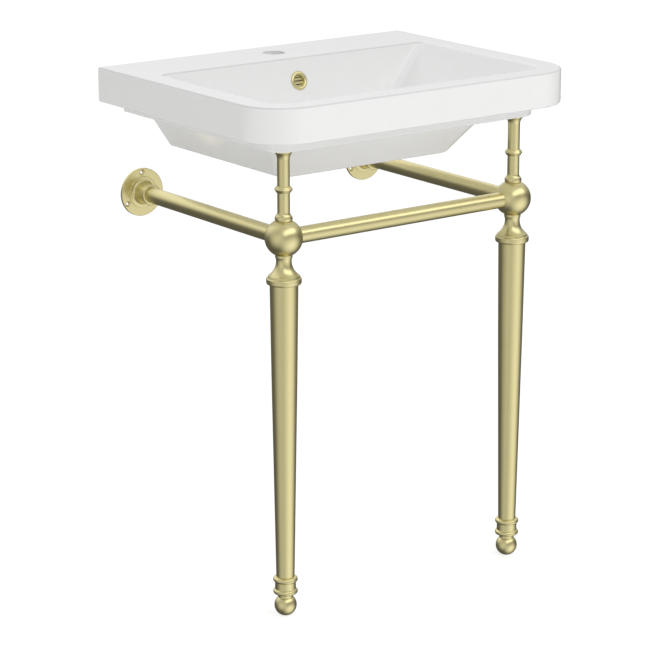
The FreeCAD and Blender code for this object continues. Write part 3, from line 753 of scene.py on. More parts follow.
@dataclass(frozen=True)
class Leg:
    """A turned brass leg, from its levelling foot to the cup under the basin.

    Heights are above the floor and radii are about the leg's own axis.
    """

    side: Side
    finishes: Finishes
    foot_ball: float = 17.4
    foot_flat: float = 5.0
    foot_neck: float = 11.5
    foot_top: float = 35.2
    foot_bore: float = 14.0
    stud: float = 5.0
    stud_top: float = 60.0
    stud_pitch: float = 1.5
    thread_gap: float = 0.06
    rod: float = 4.0
    slip_gap: float = SLIP_GAP
    collar_foot: float = 35.5
    collar_waist: float = 16.2
    collar_ring: float = 4.2
    collar_ring_tall: float = 8.0
    collar_upper_ring: float = 55.0
    collar_shoulder: float = 14.7
    collar_web: float = 2.5
    tube_foot: float = 63.5
    tube_foot_radius: float = 14.2
    tube_mid: float = 376.0
    tube_mid_radius: float = 19.6
    tube_top: float = 531.0
    tube_top_radius: float = 21.7
    tube_wall: float = 2.5
    socket: float = 16.0
    neck_slip: float = 0.25
    neck_collar: float = 26.8
    neck_collar_top: float = 541.5
    neck_edge: float = 3.0
    neck_edge_in: float = 2.3
    neck_shoulder: tuple[float, float] = (23.8, 544.0)
    neck_sweep: float = 27.4
    neck_waist: tuple[float, float] = (11.75, 566.7)
    neck_flare: float = 12.7
    hub_at: float = 602.0
    hub_radius: float = 29.0
    hub_flat: float = 13.2
    hub_web: float = 6.0
    hub_screw_at: float = 19.0
    grub: float = GRUB_HOLE
    rail: float = RAIL
    rail_stop: float = 14.6
    stem: float = 9.5
    stem_ring_end: float = 12.6
    stem_ring_round: float = 9.0
    stem_ring_tall: float = 8.0
    stem_flare_start: float = 12.1
    stem_flare_round: float = 9.0
    stem_flare_top: float = 643.0
    stem_top: float = 672.2
    skirt_gap: float = 0.08
    skirt_lip: float = 10.9
    bead_foot: float = 671.5
    bead_ceiling: float = 679.0
    bead_rim: float = 13.35
    bead_rim_foot: float = 675.6
    bead_rim_top: float = 677.4
    bead_rim_round: float = 1.2
    bead_shoulder_round: float = 1.6
    bead_shoulder: tuple[float, float] = (11.1, 680.5)
    bead_top: float = 681.5
    cup_bore_top: float = 710.0
    cup_flare_foot: float = 721.0
    cup_flare_round: float = 15.0
    cup_flare_end: tuple[float, float] = (12.9, 731.6)
    cup_radius: float = 13.7
    cup_band_foot: float = 732.6
    cup_top: float = 734.0
    pad_recess: tuple[float, float] = (11.05, 732.0)

    @property
    def spindle(self) -> Spindle:
        """The leg's own axis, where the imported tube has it."""
        low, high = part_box(f"{self.side.word}_leg_tube")
        return Spindle(((low.x + high.x) / 2, (low.y + high.y) / 2, 0.0))

    @property
    def hub_half(self) -> float:
        """Half the height of the hub ball between its two flats."""
        return math.sqrt(self.hub_radius**2 - self.hub_flat**2)

    def add(self, mesh: bpy.types.Mesh, body: str, node: str) -> None:
        """Puts one brass piece of the leg into the scene."""
        brass = self.finishes.brass[Grain.UPRIGHT]
        piece(mesh, brass, body, "satin_brass", f"{self.side.word}_{node}")

    def build_foot(self) -> None:
        """The levelling foot: a ball with a neck, and the threaded stud it turns on."""
        word = self.side.word
        centre = math.sqrt(self.foot_ball**2 - self.foot_flat**2)
        ball_top = centre + math.sqrt(self.foot_ball**2 - self.foot_neck**2)
        corners = [
            (0, 0),
            (self.foot_flat, 0, self.foot_ball),
            (self.foot_neck, ball_top),
            (self.foot_neck, self.foot_top),
            (self.stud, self.foot_top),
            (self.stud, self.foot_bore),
            (0, self.foot_bore),
        ]
        self.add(self.spindle.turned(f"{word}_foot_turned", corners), f"{word}_foot", "foot")
        thread = self.spindle.threaded(
            f"{word}_foot_thread", self.stud, self.stud_pitch, self.foot_bore, self.stud_top
        )
        piece(thread, self.finishes.steel, f"{word}_foot", "steel", f"{word}_foot_stud")

    def build_collar(self) -> None:
        """The double-ringed collar that takes the foot's stud and plugs into the tube."""
        spigot = self.tube_foot_radius - self.tube_wall - self.slip_gap
        bore = self.stud + self.thread_gap
        corners = [
            (0, self.tube_foot - self.collar_web),
            (bore, self.tube_foot - self.collar_web),
            (bore, self.collar_foot),
            (self.collar_waist, self.collar_foot, self.collar_ring),
            (self.collar_waist, self.collar_foot + self.collar_ring_tall),
            (self.collar_waist, self.collar_upper_ring, self.collar_ring),
            (self.collar_waist, self.collar_upper_ring + self.collar_ring_tall),
            (self.collar_shoulder, self.tube_foot),
            (spigot, self.tube_foot),
            (spigot, self.tube_foot + self.socket),
            (self.rod, self.tube_foot + self.socket),
            (self.rod, self.tube_foot + self.collar_web),
            (0, self.tube_foot + self.collar_web),
        ]
        mesh = self.spindle.turned(f"{self.side.word}_collar_turned", corners)
        self.add(mesh, "frame", "foot_collar")

    def build_tube(self) -> None:
        """The long tapered tube."""
        corners = [
            (self.tube_foot_radius - self.tube_wall, self.tube_foot),
            (self.tube_foot_radius, self.tube_foot),
            (self.tube_mid_radius, self.tube_mid),
            (self.tube_top_radius, self.tube_top),
            (self.tube_top_radius - self.tube_wall, self.tube_top),
            (self.tube_mid_radius - self.tube_wall, self.tube_mid),
        ]
        mesh = self.spindle.turned(f"{self.side.word}_tube_turned", corners, columns=128)
        self.add(mesh, "frame", "leg_tube")

    def build_neck(self) -> None:
        """The collar on top of the tube, sweeping in to a waist below the ball."""
        spigot = self.tube_top_radius - self.tube_wall - self.neck_slip
        bore = self.rod + self.neck_slip
        waist, waist_at = self.neck_waist
        leeway = self.neck_flare + waist - self.hub_flat
        flare = math.sqrt(self.neck_flare**2 - leeway**2)
        corners = [
            (bore, self.tube_top - self.socket),
            (spigot, self.tube_top - self.socket),
            (spigot, self.tube_top),
            (self.neck_collar - self.neck_edge_in, self.tube_top, self.neck_edge),
            (self.neck_collar, self.tube_top + self.neck_edge),
            (self.neck_collar, self.neck_collar_top - self.neck_edge, self.neck_edge),
            (self.neck_collar - self.neck_edge_in, self.neck_collar_top),
            (*self.neck_shoulder, -self.neck_sweep),
            (waist, waist_at, -self.neck_flare),
            (self.hub_flat, waist_at + flare),
            (self.hub_flat, self.hub_at - self.hub_half),
            (bore, self.hub_at - self.hub_half),
        ]
        mesh = self.spindle.turned(f"{self.side.word}_neck_turned", corners, columns=112)
        self.add(mesh, "frame", "leg_neck")

    def build_hub(self) -> None:
        """The ball that the rails, the leg and the stem join, with its sockets and holes."""
        low, high = self.hub_at - self.hub_half, self.hub_at + self.hub_half
        corners = [
            (0, self.hub_at - self.hub_web),
            (self.rod, self.hub_at - self.hub_web),
            (self.rod, low),
            (self.hub_flat, low, self.hub_radius),
            (self.hub_flat, high),
            (self.stud, high),
            (self.stud, self.hub_at + self.hub_web),
            (0, self.hub_at + self.hub_web),
        ]
        x, y, _ = self.spindle.origin
        centre = (x, y, self.hub_at * MM)
        inboard = -self.side.value
        stop = self.rail_stop - self.slip_gap
        past = self.hub_radius + stop
        socket = round_hole(self.rail + self.slip_gap)
        grub = round_hole(self.grub)
        depths = sorted((inboard * stop, inboard * past))
        cutters = [
            Spindle(centre, Grain.ALONG_WALL).bar("inboard_socket", socket, *depths),
            Spindle(centre, Grain.OUT_OF_WALL).bar("wallward_socket", socket, -past, -stop),
        ]
        for across, up in ((inboard * self.hub_screw_at, 0), (0, self.hub_screw_at)):
            seat = self.spindle.moved(across, up)
            cutters.append(seat.bar("grub_hole", grub, low, self.hub_at - self.rail + OVERRUN))
        ball = self.spindle.turned(f"{self.side.word}_hub_turned", corners, columns=112)
        self.add(carved(ball, cutters), "frame", "hub_ball")

    def build_stem(self) -> None:
        """The lower stem on the ball, with a ring at its foot."""
        foot = self.hub_at + self.hub_half
        ring_top = foot + self.stem_ring_tall
        corners = [
            (self.stud, foot),
            (self.stem_ring_end, foot, self.stem_ring_round),
            (self.stem_ring_end, ring_top),
            (self.stem_flare_start, ring_top, -self.stem_flare_round),
            (self.stem, self.stem_flare_top),
            (self.stem, self.stem_top),
            (self.stud, self.stem_top),
        ]
        mesh = self.spindle.turned(f"{self.side.word}_stem_turned", corners)
        self.add(mesh, "frame", "lower_stem")

    def build_cup(self) -> None:
        """The cup under the basin, with a bead at its foot that hides the thread."""
        word = self.side.word
        bore = self.stud + self.thread_gap
        skirt = self.stem + self.skirt_gap
        pad, pad_at = self.pad_recess
        corners = [
            (0, self.cup_bore_top),
            (bore, self.cup_bore_top),
            (bore, self.bead_ceiling),
            (skirt, self.bead_ceiling),
            (skirt, self.bead_foot),
            (self.skirt_lip, self.bead_foot),
            (self.bead_rim, self.bead_rim_foot, self.bead_rim_round),
            (self.bead_rim, self.bead_rim_top),
            (*self.bead_shoulder, self.bead_shoulder_round),
            (self.stem, self.bead_top),
            (self.stem, self.cup_flare_foot, -self.cup_flare_round),
            self.cup_flare_end,
            (self.cup_radius, self.cup_band_foot),
            (self.cup_radius, self.cup_top),
            (pad, self.cup_top),
            (pad, pad_at),
            (0, pad_at),
        ]
        mesh = self.spindle.turned(f"{word}_cup_turned", corners, soft=0.4)
        self.add(mesh, f"{word}_cup", "support_cup")

    def build(self) -> None:
        """Builds every piece of the leg that shows."""
        self.build_foot()
        self.build_collar()
        self.build_tube()
        self.build_neck()
        self.build_hub()
        self.build_stem()
        self.build_cup()


@dataclass(frozen=True)
class Rails:
    """The rail between the balls, the two side rails and the wall flanges they end in."""

    finishes: Finishes
    rail: float = RAIL
    rail_wall: float = 1.6
    slip_gap: float = SLIP_GAP
    plate: float = 39.0
    plate_thick: float = 4.4
    plate_edge: float = 1.2
    plate_round: float = 1.4
    ring: float = 25.5
    ring_top: float = 6.4
    ring_edge: float = 0.8
    ring_round: float = 1.0
    root: float = 17.6
    root_in: float = 3.5
    root_up: float = 4.0
    root_round: float = 4.5
    sleeve: float = 15.5
    lip: float = 0.6
    lip_foot: float = 29.6
    lip_round: float = 1.8
    length: float = 33.0
    floor: float = 6.0
    screw_circle: float = 32.0
    screw_hole: float = 2.5
    screw_head: float = 5.0
    screw_turns: tuple[int, ...] = (90, 210, 330)
    grub: float = GRUB_HOLE
    grub_at: float = 25.0

    def tube(self, name: str, spindle: Spindle, foot: float, top: float, node: str) -> None:
        """Builds a rail as a plain tube.

        Args:
            name: the piece's name.
            spindle: the rail's axis.
            foot: the height along the axis that it starts at, in millimetres.
            top: the height that it ends at.
            node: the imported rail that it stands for.
        """
        inside = self.rail - self.rail_wall
        corners = [(inside, foot), (self.rail, foot), (self.rail, top), (inside, top)]
        mesh = spindle.turned(name, corners, soft=0.4, columns=96)
        piece(mesh, self.finishes.brass[spindle.grain], "frame", "satin_brass", node)

    def build_front_rail(self) -> None:
        """The rail between the two balls."""
        low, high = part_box("front_rail")
        middle = (low + high) / 2
        spindle = Spindle((0.0, middle.y, middle.z), Grain.ALONG_WALL)
        self.tube("front_rail_drawn", spindle, low.x / MM, high.x / MM, "front_rail")

    def build_side_rail(self, side: Side) -> None:
        """Builds the rail from a ball to its wall flange.

        Args:
            side: which of the two.
        """
        low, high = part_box(f"{side.word}_side_rail")
        wall = self.wall_end(side)
        foot, top = ((wall.origin[1] - y) / MM for y in (high.y, low.y))
        self.tube(f"{side.word}_rail_drawn", wall, foot, top, f"{side.word}_side_rail")

    def wall_end(self, side: Side) -> Spindle:
        """Finds a side rail's axis.

        Args:
            side: which of the two.

        Returns:
            The axis, starting in the wall's face and pointing out of it.
        """
        low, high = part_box(f"{side.word}_wall_flange")
        middle = (low + high) / 2
        return Spindle((middle.x, high.y, middle.z), Grain.OUT_OF_WALL)

    def build_flange(self, side: Side) -> None:
        """Builds the round plate with its raised ring, its sleeve and three countersunk holes.

        Args:
            side: which of the two.
        """
        corners = [
            (0, 0),
            (self.plate, 0),
            (self.plate, self.plate_thick - self.plate_edge, self.plate_round),
            (self.plate - self.plate_edge, self.plate_thick),
            (self.ring, self.plate_thick),
            (self.ring, self.ring_top - self.ring_edge, self.ring_round),
            (self.ring - self.ring_edge, self.ring_top),
            (self.root + self.root_in, self.ring_top, -self.root_round),
            (self.root, self.ring_top + self.root_up),
            (self.sleeve, self.lip_foot - self.lip),
            (self.sleeve + self.lip, self.lip_foot, self.lip_round),
            (self.sleeve + self.lip, self.length - self.lip),
            (self.sleeve - self.lip, self.length),
            (self.rail + self.slip_gap, self.length),
            (self.rail + self.slip_gap, self.floor),
            (0, self.floor),
        ]
        sink = self.plate_thick - (self.screw_head - self.screw_hole)
        countersunk = [
            (0, -OVERRUN),
            (self.screw_hole, -OVERRUN),
            (self.screw_hole, sink),
            (self.screw_head + OVERRUN, self.plate_thick + OVERRUN),
            (0, self.plate_thick + OVERRUN),
        ]
        wall = self.wall_end(side)
        cutters = []
        for angle in map(math.radians, self.screw_turns):
            across, up = (self.screw_circle * turn(angle) for turn in (math.cos, math.sin))
            screw = wall.moved(across, up)
            cutters.append(screw.turned("screw_hole", countersunk, soft=0.2, columns=40))
        x, y, z = wall.origin
        under = Spindle((x, y - self.grub_at * MM, z))
        grub = round_hole(self.grub)
        cutters.append(under.bar("grub_hole", grub, -self.sleeve - OVERRUN, OVERRUN - self.rail))
        plate = wall.turned(f"{side.word}_flange_turned", corners, soft=0.4, columns=112)
        brass = self.finishes.brass[Grain.OUT_OF_WALL]
        node = f"{side.word}_wall_flange"
        piece(carved(plate, cutters), brass, "frame", "satin_brass", node)

    def build(self) -> None:
        """Builds the rails and the flanges."""
        self.build_front_rail()
        for side in Side:
            self.build_side_rail(side)
            self.build_flange(side)


@dataclass(frozen=True)
class OverflowTrim:
    """The brass ring round the overflow and the slotted grid inside it.

    Heights are out of the bowl's back wall, square to it.
    """

    spindle: Spindle
    brass: bpy.types.Material
    radius: float = 15.5
    edge: float = 0.7
    edge_round: float = 4.5
    crown: tuple[float, float] = (12.3, 2.6)
    crown_round: float = 4.0
    mouth: tuple[float, float] = (9.8, 1.4)
    bore: float = 9.4
    bore_top: float = 0.8
    sleeve: float = 10.9
    sleeve_foot: float = -9.0
    grid_slip: float = SLIP_GAP
    grid_face: float = -3.0
    grid_thick: float = 2.0
    eye: float = 8.2
    slot: float = 1.8
    pitch: float = 5.6

    def build_ring(self) -> None:
        """The ring, with a crown that rolls over into its bore."""
        corners = [
            (self.bore, self.sleeve_foot),
            (self.sleeve, self.sleeve_foot),
            (self.sleeve, 0),
            (self.radius, 0),
            (self.radius, self.edge, self.edge_round),
            (*self.crown, self.crown_round),
            self.mouth,
            (self.bore, self.bore_top),
        ]
        ring = self.spindle.turned("overflow_ring_turned", corners, soft=0.4, columns=96)
        piece(ring, self.brass, "frame", "satin_brass", "overflow_ring")

    def build_grid(self) -> None:
        """The disc with three level slots, whose ends lie on one circle."""
        rim, foot = self.bore - self.grid_slip, self.grid_face - self.grid_thick
        slots = []
        for middle in (-self.pitch, 0, self.pitch):
            low, high = (
                math.degrees(math.asin((middle + half) / self.eye))
                for half in (-self.slot / 2, self.slot / 2)
            )
            ends = [round_hole(self.eye, start, high - low) for start in (low, 180 - high)]
            slots.append(self.spindle.bar("slot", np.concatenate(ends), foot - OVERRUN, 0))
        disc = [(0, foot), (rim, foot), (rim, self.grid_face), (0, self.grid_face)]
        plate = self.spindle.turned("overflow_grid_turned", disc, soft=0.4, columns=96)
        piece(carved(plate, slots), self.brass, "frame", "satin_brass", "overflow_grid")

    def build(self) -> None:
        """Builds the ring and the grid."""
        self.build_ring()
        self.build_grid()


@dataclass(frozen=True)
class Basin:
    """The glazed basin and the trim in its overflow.

    An outline of it is level: half its width, how far its back and its front lie from the
    wall, the radii of its back and front corners, and how far it lies below the rim. A field
    that ends in _edge is how far the edge at an outline is softened. One that ends in _behind
    is how far an outline runs on behind the wall, where the skin is cut off. No two are
    alike, so that the skin doesn't touch itself there.
    """

    finishes: Finishes
    half: float = 300.0
    depth: float = 462.0
    front_corner: float = 75.0
    apron: float = 55.0
    plinth_inset: float = 46.0
    plinth_drop: float = 76.0
    hull_top: tuple[float, float] = (211.0, 355.0)
    hull_foot: tuple[float, float] = (166.0, 308.0)
    hull_corner: float = 22.0
    hull_drop: float = 142.0
    mouth: tuple[float, ...] = (259.0, 112.0, 422.0, 13.0, 36.0)
    bowl_floor: tuple[float, ...] = (131.0, 151.0, 291.0, 14.0, 14.0)
    bowl_drop: float = 122.0
    waste: float = 23.0
    waste_seat: float = 33.0
    waste_seat_depth: float = 4.0
    tap: float = 17.5
    tap_back: float = 55.0
    deck_skin: float = 22.0
    back_skin: float = 12.0
    tail_depth: float = 72.0
    tail_half: float = 193.0
    tail_foot_half: float = 148.0
    fixing: float = 7.0
    fixing_half_span: float = 140.0
    fixing_drop: float = 60.0
    overflow_drop: float = 36.0
    overflow_hole: float = 11.0
    duct_half: float = 13.0
    duct_gap: float = 9.0
    duct_skin: float = 8.0
    duct_floor: float = 4.0
    duct_level: float = 8.0
    waste_edge: float = 0.8
    seat_edge: float = 1.5
    hull_foot_edge: float = 2.5
    hull_top_edge: float = 3.0
    plinth_edge: float = 2.2
    slab_edge: float = 3.5
    mouth_edge: float = 2.2
    floor_edge: float = 6.0
    tap_edge: float = 1.5
    tap_edge_round: float = 1.575
    tap_edge_end: tuple[float, float] = (1.35, 0.03)
    hull_behind: float = 20.0
    plinth_behind: float = 40.0
    slab_behind: float = 60.0
    block_depth: float = 100.0
    hidden_corner: float = 5.0
    edge_points: int = 7
    face_points: int = 8
    corner_points: int = 16
    side_points: int = 14

    @property
    def wall(self) -> Spindle:
        """The middle of the rim's back edge, pointing out of the wall."""
        _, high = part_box("basin")
        return Spindle((0.0, high.y, high.z), Grain.OUT_OF_WALL)

    @property
    def slope(self) -> float:
        """How far the bowl's back wall comes forward for each step down."""
        return (self.bowl_floor[1] - self.mouth[1]) / self.bowl_drop

    @property
    def lean(self) -> float:
        """The angle by which the bowl's back wall leans."""
        return math.atan(self.slope)

    @property
    def waste_at(self) -> float:
        """How far the waste hole's middle lies from the wall."""
        return (self.bowl_floor[1] + self.bowl_floor[2]) / 2

    @property
    def overflow(self) -> Spindle:
        """The overflow's axis, square to the bowl's back wall."""
        back = self.mouth[1] + self.slope * self.overflow_drop
        origin = self.wall.placed(np.array((0.0, -self.overflow_drop, back)))
        return Spindle(tuple(origin), Grain.OUT_OF_WALL, self.lean)

    def disc(self, radius: float, drop: float) -> tuple[float, ...]:
        """A round outline about the waste hole."""
        return (radius, self.waste_at - radius, self.waste_at + radius, radius, radius, drop)

    def levels(self) -> list[tuple[tuple[float, ...], float]]:
        """Lists the outlines that the skin runs through.

        They go down the waste hole, out under the bowl, up the outside and down into the
        bowl.

        Returns:
            Each outline with how far its edge is softened.
        """
        inset, hidden = self.plinth_inset, self.hidden_corner
        corner = self.front_corner
        foot_half, foot_front = self.hull_foot
        top_half, top_front = self.hull_top
        hull_foot = (foot_half, -self.hull_behind, foot_front, hidden, self.hull_corner)
        hull_top = (top_half, -self.hull_behind, top_front, hidden, self.hull_corner)
        plinth = (
            self.half - inset, -self.plinth_behind, self.depth - inset, hidden, corner - inset
        )
        slab = (self.half, -self.slab_behind, self.depth, hidden, corner)
        seat_drop = self.bowl_drop + self.waste_seat_depth
        return [
            (self.disc(self.waste, seat_drop), self.waste_edge),
            (self.disc(self.waste, self.hull_drop), self.seat_edge),
            ((*hull_foot, self.hull_drop), self.hull_foot_edge),
            ((*hull_top, self.plinth_drop), self.hull_top_edge),
            ((*plinth, self.plinth_drop), self.plinth_edge),
            ((*plinth, self.apron), self.plinth_edge),
            ((*slab, self.apron), self.slab_edge),
            ((*slab, 0.0), self.slab_edge),
            ((*self.mouth, 0.0), self.mouth_edge),
            ((*self.bowl_floor, self.bowl_drop), self.floor_edge),
            (self.disc(self.waste_seat, self.bowl_drop), self.seat_edge),
            (self.disc(self.waste_seat, seat_drop), self.seat_edge),
        ]

    @staticmethod
    def step(start: np.ndarray, end: np.ndarray, reach: float) -> np.ndarray:
        """Goes a little way from one outline towards the next.

        On the level it grows or shrinks evenly all round. Otherwise it moves along the
        slope between the two.

        Args:
            start: the outline that it starts from.
            end: the one that it goes towards.
            reach: how far it goes, in millimetres.

        Returns:
            The outline there.
        """
        change = end - start
        if change[5] == 0:
            return start + reach * np.sign(change[0]) * np.array((1, -1, 1, 1, 1, 0))
        return start + change * reach / np.hypot(np.abs(change[:3]).mean(), change[5])

    def outlines(self) -> np.ndarray:
        """Works out all outlines from edge to edge.

        An edge is a conic between the outlines on its two sides, pulled towards its own:
        (s^2 A + 2 w s t E + t^2 B) / (s^2 + 2 w s t + t^2) with s = 1 - t and w = cos 45
        degrees. That is a quarter circle where the edge is square.

        Returns:
            The outlines, one a row.
        """
        given, edges = zip(*self.levels())
        corners = [np.array(level, float) for level in given]
        t = np.linspace(0, 1, self.edge_points)[:, None]
        s, w = 1 - t, math.sqrt(0.5)
        shares = s * s, 2 * w * s * t, t * t
        before = [self.step(e, corners[i - 1], edges[i]) for i, e in enumerate(corners)]
        ends = corners[1:] + corners[:1]
        after = [self.step(e, end, edge) for e, end, edge in zip(corners, ends, edges)]
        between = np.linspace(0, 1, self.face_points)[1:-1, None]
        rows = []
        for a, e, b, following in zip(before, corners, after, before[1:] + before[:1]):
            pulled = shares[0] * a + shares[1] * e + shares[2] * b
            rows += [pulled / sum(shares), b + (following - b) * between]
        return np.concatenate(rows)

    def skin(self) -> bpy.types.Mesh:
        """Carries the outlines round.

        A corner is its centre plus its radius times (cosine, sine) of evenly spaced angles,
        and the sides between the corners are split evenly.

        Returns:
            The basin's closed skin, before anything is cut out of it.
        """
        half, back, front, back_corner, front_corner, drop = self.outlines().T[:, :, None]
        quarter = np.radians(np.linspace(0, 90, self.corner_points))[None, :]
        turns = (
            (-1, front - front_corner, front_corner, 180),
            (1, front - front_corner, front_corner, 270),
            (1, back + back_corner, back_corner, 0),
            (-1, back + back_corner, back_corner, 90),
        )
        arcs = []
        for sign, out, radius, start in turns:
            angle = quarter + math.radians(start)
            x = sign * (half - radius) + radius * np.cos(angle)
            arcs.append(np.stack([x, -drop + 0 * angle, out - radius * np.sin(angle)], axis=-1))
        split = np.linspace(0, 1, self.side_points)[1:-1][None, :, None]
        runs = []
        for arc, after in zip(arcs, arcs[1:] + arcs[:1]):
            runs += [arc, arc[:, -1:] + (after[:, :1] - arc[:, -1:]) * split]
        grid = self.wall.placed(np.concatenate(runs, axis=1))
        return skin("basin_glazed", grid, True)

    def cutters(self) -> list[bpy.types.Mesh]:
        """Makes what is cut out of the skin.

        Returns:
            A block for all that lies behind the wall, and one for each hole and passage.
        """
        wall, overflow = self.wall, self.overflow
        far = 2 * self.half
        tail = np.array([
            (-self.tail_foot_half, -self.hull_drop - OVERRUN),
            (self.tail_foot_half, -self.hull_drop - OVERRUN),
            (self.tail_half, -self.plinth_drop),
            (self.tail_half, -self.deck_skin),
            (-self.tail_half, -self.deck_skin),
            (-self.tail_half, -self.plinth_drop),
        ])
        tap_at = wall.placed(np.array((0.0, 0.0, self.tap_back)))
        end_out, end_down = self.tap_edge_end
        tap = [
            (0, -self.deck_skin - OVERRUN),
            (self.tap, -self.deck_skin - OVERRUN),
            (self.tap, -self.tap_edge, -self.tap_edge_round),
            (self.tap + end_out, -end_down),
            (self.tap + self.tap_edge, OVERRUN),
            (0, OVERRUN),
        ]
        fixing = round_hole(self.fixing)
        foot = self.hull_drop - self.duct_floor
        low = (foot - self.overflow_drop) / math.cos(self.lean)
        high = (self.overflow_hole + OVERRUN) / math.cos(self.lean)
        duct = oblong(self.duct_half, -low, high)
        level = oblong(self.duct_half, -foot, self.duct_level - foot)
        level_from = self.mouth[1] + self.slope * foot - self.duct_skin - self.duct_gap
        return [
            wall.bar("behind_the_wall", oblong(far, -far, far), -self.block_depth, 0),
            wall.bar("tail_space", tail, self.back_skin, self.back_skin + self.tail_depth),
            Spindle(tuple(tap_at)).turned("tap_hole", tap, soft=0.2, columns=96),
            *(
                wall.moved(x, -self.fixing_drop).bar(
                    "fixing_hole", fixing, -OVERRUN, self.back_skin + OVERRUN
                )
                for x in (-self.fixing_half_span, self.fixing_half_span)
            ),
            overflow.bar(
                "overflow_mouth", round_hole(self.overflow_hole),
                -self.duct_skin - self.duct_gap / 2, OVERRUN,
            ),
            overflow.bar(
                "overflow_duct", duct, -self.duct_skin - self.duct_gap, -self.duct_skin
            ),
            wall.bar("overflow_run", level, level_from, self.waste_at),
        ]

    def build(self) -> None:
        """Builds the basin and its trim."""
        casting = carved(self.skin(), self.cutters())
        piece(casting, self.finishes.glaze, "frame", "glazed_ceramic", "basin")
        OverflowTrim(self.overflow, self.finishes.brass[Grain.OUT_OF_WALL]).build()


# Studio


@dataclass(frozen=True)
class Lobe:
    """A soft step in the world's brightness towards one direction.

    It starts and ends at two cosines of the angle to that direction, between two levels. An
    end beyond one is never quite reached.
    """

    way: tuple[float, float, float]
    start: float
    end: float
    low: float
    high: float

    def level(self, tree: bpy.types.NodeTree) -> bpy.types.NodeSocket:
        """Builds the step in a world's tree.

        Args:
            tree: the node tree.

        Returns:
            The level's socket.
        """
        facing = add(tree, "TexCoord").outputs["Generated"]
        way = tuple(Vector(self.way).normalized())
        cosine = add(tree, "VectorMath", {"operation": "DOT_PRODUCT"}, i0=facing, i1=way)
        step = add(
            tree, "MapRange", {"interpolation_type": "SMOOTHSTEP"},
            Value=cosine.outputs["Value"], From_Min=self.start, From_Max=self.end,
            To_Min=self.low, To_Max=self.high,
        )
        return step.outputs["Result"]


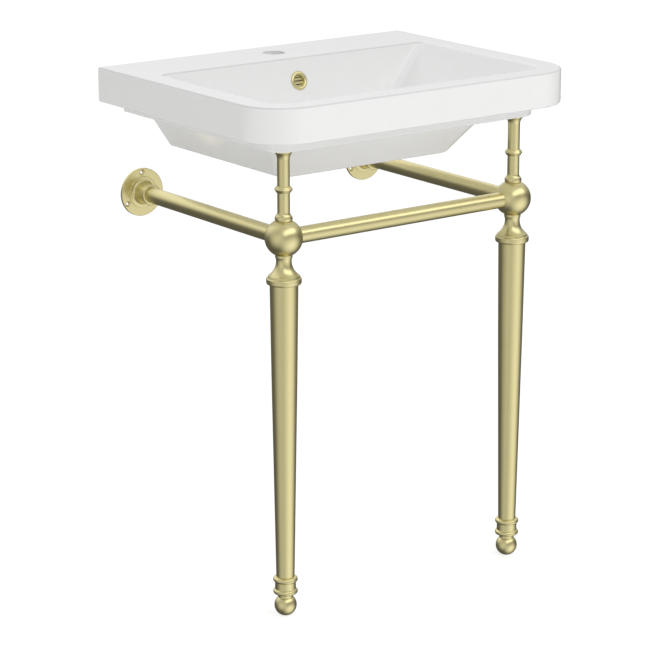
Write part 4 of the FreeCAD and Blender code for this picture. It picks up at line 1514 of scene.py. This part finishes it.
@dataclass(frozen=True)
class Studio:
    """A pale floor in a light tent, one wide soft box and the camera.

    The floor is lit from below too, as a shooting table is. The tent is white to the eye, and
    as a light it is brighter overhead. What polished pieces mirror of it has the shape that a
    photographer gives it with flags and reflectors: pale above and behind, a bright card low
    in front, a weaker one on the left, and dark cloth low behind the set.
    """

    sky: Lobe = Lobe((0.0, 0.0, 1.0), 0.0, 1.0, 0.44, 0.88)
    left_card: Lobe = Lobe((-0.95, -0.29, 0.12), 0.31, 1.41, 0.13, 1.24)
    right_card: Lobe = Lobe((0.25, -0.80, -0.54), 0.39, 1.36, 0.0, 1.75)
    roof: Lobe = Lobe((0.10, 0.70, 0.72), 0.45, 1.0, 0.64, 1.22)
    horizon: Lobe = Lobe((0.05, 0.26, 0.96), 0.0, 0.5, 0.0, 1.0)
    floor_half: float = 9.0
    floor_tone: str = "#F2F2F1"
    floor_glow: float = 0.22
    shown_tone: str = "#AAAAAA"
    shown_lift: float = 0.72
    fibre_mm: float = 1.1
    key_place: tuple[float, float, float] = (0.70, -3.29, 3.67)
    key_aim: tuple[float, float, float] = (0.0, 0.0, 0.6)
    key_size: tuple[float, float] = (7.5, 2.2)
    key_watts: float = 72.0
    camera_place: tuple[float, float, float] = (-2.4966, -3.3230, 1.5496)
    camera_yaw: float = 0.6418
    camera_pitch: float = 0.2741
    lens_mm: float = 145.05

    def build_tent(self) -> None:
        """The world: even white to the eye, and shaped as a light and where metal mirrors it."""
        world = bpy.data.worlds.new("light_tent_white")
        bpy.context.scene.world = world
        world.use_nodes = True
        tree = world.node_tree
        tree.nodes.clear()
        path = add(tree, "LightPath").outputs
        cards = add(
            tree, "Math", {"operation": "ADD"},
            i0=self.left_card.level(tree), i1=self.right_card.level(tree),
        )
        mirrored = add(
            tree, "Mix", {"data_type": "FLOAT"}, i0=self.horizon.level(tree),
            i2=cards.outputs["Value"], i3=self.roof.level(tree),
        )
        plain = add(
            tree, "Mix", {"data_type": "FLOAT"}, i0=path["Is Camera Ray"],
            i2=self.sky.level(tree), i3=1.0,
        )
        strength = add(
            tree, "Mix", {"data_type": "FLOAT"}, i0=path["Is Glossy Ray"],
            i2=plain.outputs[0], i3=mirrored.outputs[0],
        )
        tent = add(tree, "Background", Color=linear("#FFFFFF"), Strength=strength.outputs[0])
        add(tree, "OutputWorld", Surface=tent.outputs["Background"])

    def build_floor(self) -> None:
        """The floor: pale matt paper, lifted to white to the eye, that keeps its shadows.

        Polished pieces don't mirror it, so the tent's cards show in them down to their feet.
        """
        material, tree, place = blank("seamless_paper_white")
        fibre = add(tree, "TexNoise", Vector=place, Scale=1000 / self.fibre_mm, Detail=2.0)
        tooth = add(tree, "Bump", Strength=0.05, Distance=0.1 * MM, Height=fibre.outputs["Fac"])
        shades = []
        for tone, glow in ((self.floor_tone, self.floor_glow), (self.shown_tone, self.shown_lift)):
            paper = add(
                tree, "BsdfDiffuse", Color=linear(tone), Normal=tooth.outputs["Normal"]
            )
            lift = add(tree, "Emission", Color=linear("#FFFFFF"), Strength=glow)
            lit = add(tree, "AddShader", i0=paper.outputs["BSDF"], i1=lift.outputs["Emission"])
            shades.append(lit.outputs["Shader"])
        seen = add(tree, "LightPath").outputs["Is Camera Ray"]
        shown = add(tree, "MixShader", i0=seen, i1=shades[0], i2=shades[1])
        add(tree, "OutputMaterial", Surface=shown.outputs["Shader"])
        half = self.floor_half
        mesh = bpy.data.meshes.new("floor")
        corners = [(-half, -half, 0), (half, -half, 0), (half, half, 0), (-half, half, 0)]
        mesh.from_pydata(corners, [], [(0, 1, 2, 3)])
        mesh.materials.append(material)
        floor = linked("floor", mesh)
        floor.visible_glossy = False
        floor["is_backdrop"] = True

    def build_key(self) -> None:
        """The key light, a wide soft box high in front that faces the middle of the set."""
        light = bpy.data.lights.new("key", "AREA")
        light.shape = "RECTANGLE"
        light.size, light.size_y = self.key_size
        light.energy = self.key_watts
        thing = linked("key", light)
        thing.location = self.key_place
        aim = Vector(self.key_aim) - thing.location
        thing.rotation_euler = aim.to_track_quat("-Z", "Y").to_euler()

    def build_camera(self) -> None:
        """The camera at the photograph's viewing angle, pitched down and not shifted."""
        camera = bpy.data.cameras.new("camera")
        camera.sensor_width = 36.0
        camera.lens = self.lens_mm
        camera.clip_end = 60.0
        thing = linked("camera", camera)
        thing.location = self.camera_place
        thing.rotation_euler = (math.pi / 2 - self.camera_pitch, 0, -self.camera_yaw)
        bpy.context.scene.camera = thing

    def build(self) -> None:
        """Builds the whole studio."""
        bpy.context.scene.view_settings.view_transform = "Standard"
        self.build_tent()
        self.build_floor()
        self.build_key()
        self.build_camera()
        log.info("studio built")


def dress_nodes(finishes: Finishes) -> None:
    """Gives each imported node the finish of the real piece.

    Args:
        finishes: the finishes to choose from.
    """
    plain = {
        "glazed_ceramic": finishes.glaze, "steel": finishes.steel, "rubber": finishes.rubber
    }
    slots = {part["node"]: part["material_slot"] for part in frame["record"]["subparts"]}
    for name, node in frame["nodes"].items():
        grain = Grain.UPRIGHT
        if name == "front_rail":
            grain = Grain.ALONG_WALL
        elif name.endswith(("side_rail", "wall_flange")) or name.startswith("overflow"):
            grain = Grain.OUT_OF_WALL
        finish = plain.get(slots[name], finishes.brass[grain])
        node.data.materials.clear()
        node.data.materials.append(finish)
        log.info("%s wears %s", name, finish.name)


def write_sizes(cad: tuple) -> None:
    """Lays the CAD box and the visual model's box side by side as plain lists, and writes them
    nowhere.
    """
    boxes = {"cad": cad, "visual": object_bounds()}
    plain = {name: [list(map(float, corner)) for corner in box] for name, box in boxes.items()}


def main() -> None:
    """Builds everything in order."""
    logging.basicConfig(level=logging.INFO, format="%(name)s: %(message)s")
    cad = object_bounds()
    Studio().build()
    finishes = Finishes(
        GlazedFireclay(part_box("basin")[1].z).material(),
        ZincPlatedSteel().material(),
        MouldedRubber().material(),
        {grain: BrushedBrass(grain).material() for grain in Grain},
    )
    dress_nodes(finishes)
    Basin(finishes).build()
    for side in Side:
        Leg(side, finishes).build()
    Rails(finishes).build()
    write_sizes(cad)


if __name__ == "__main__":
    main()
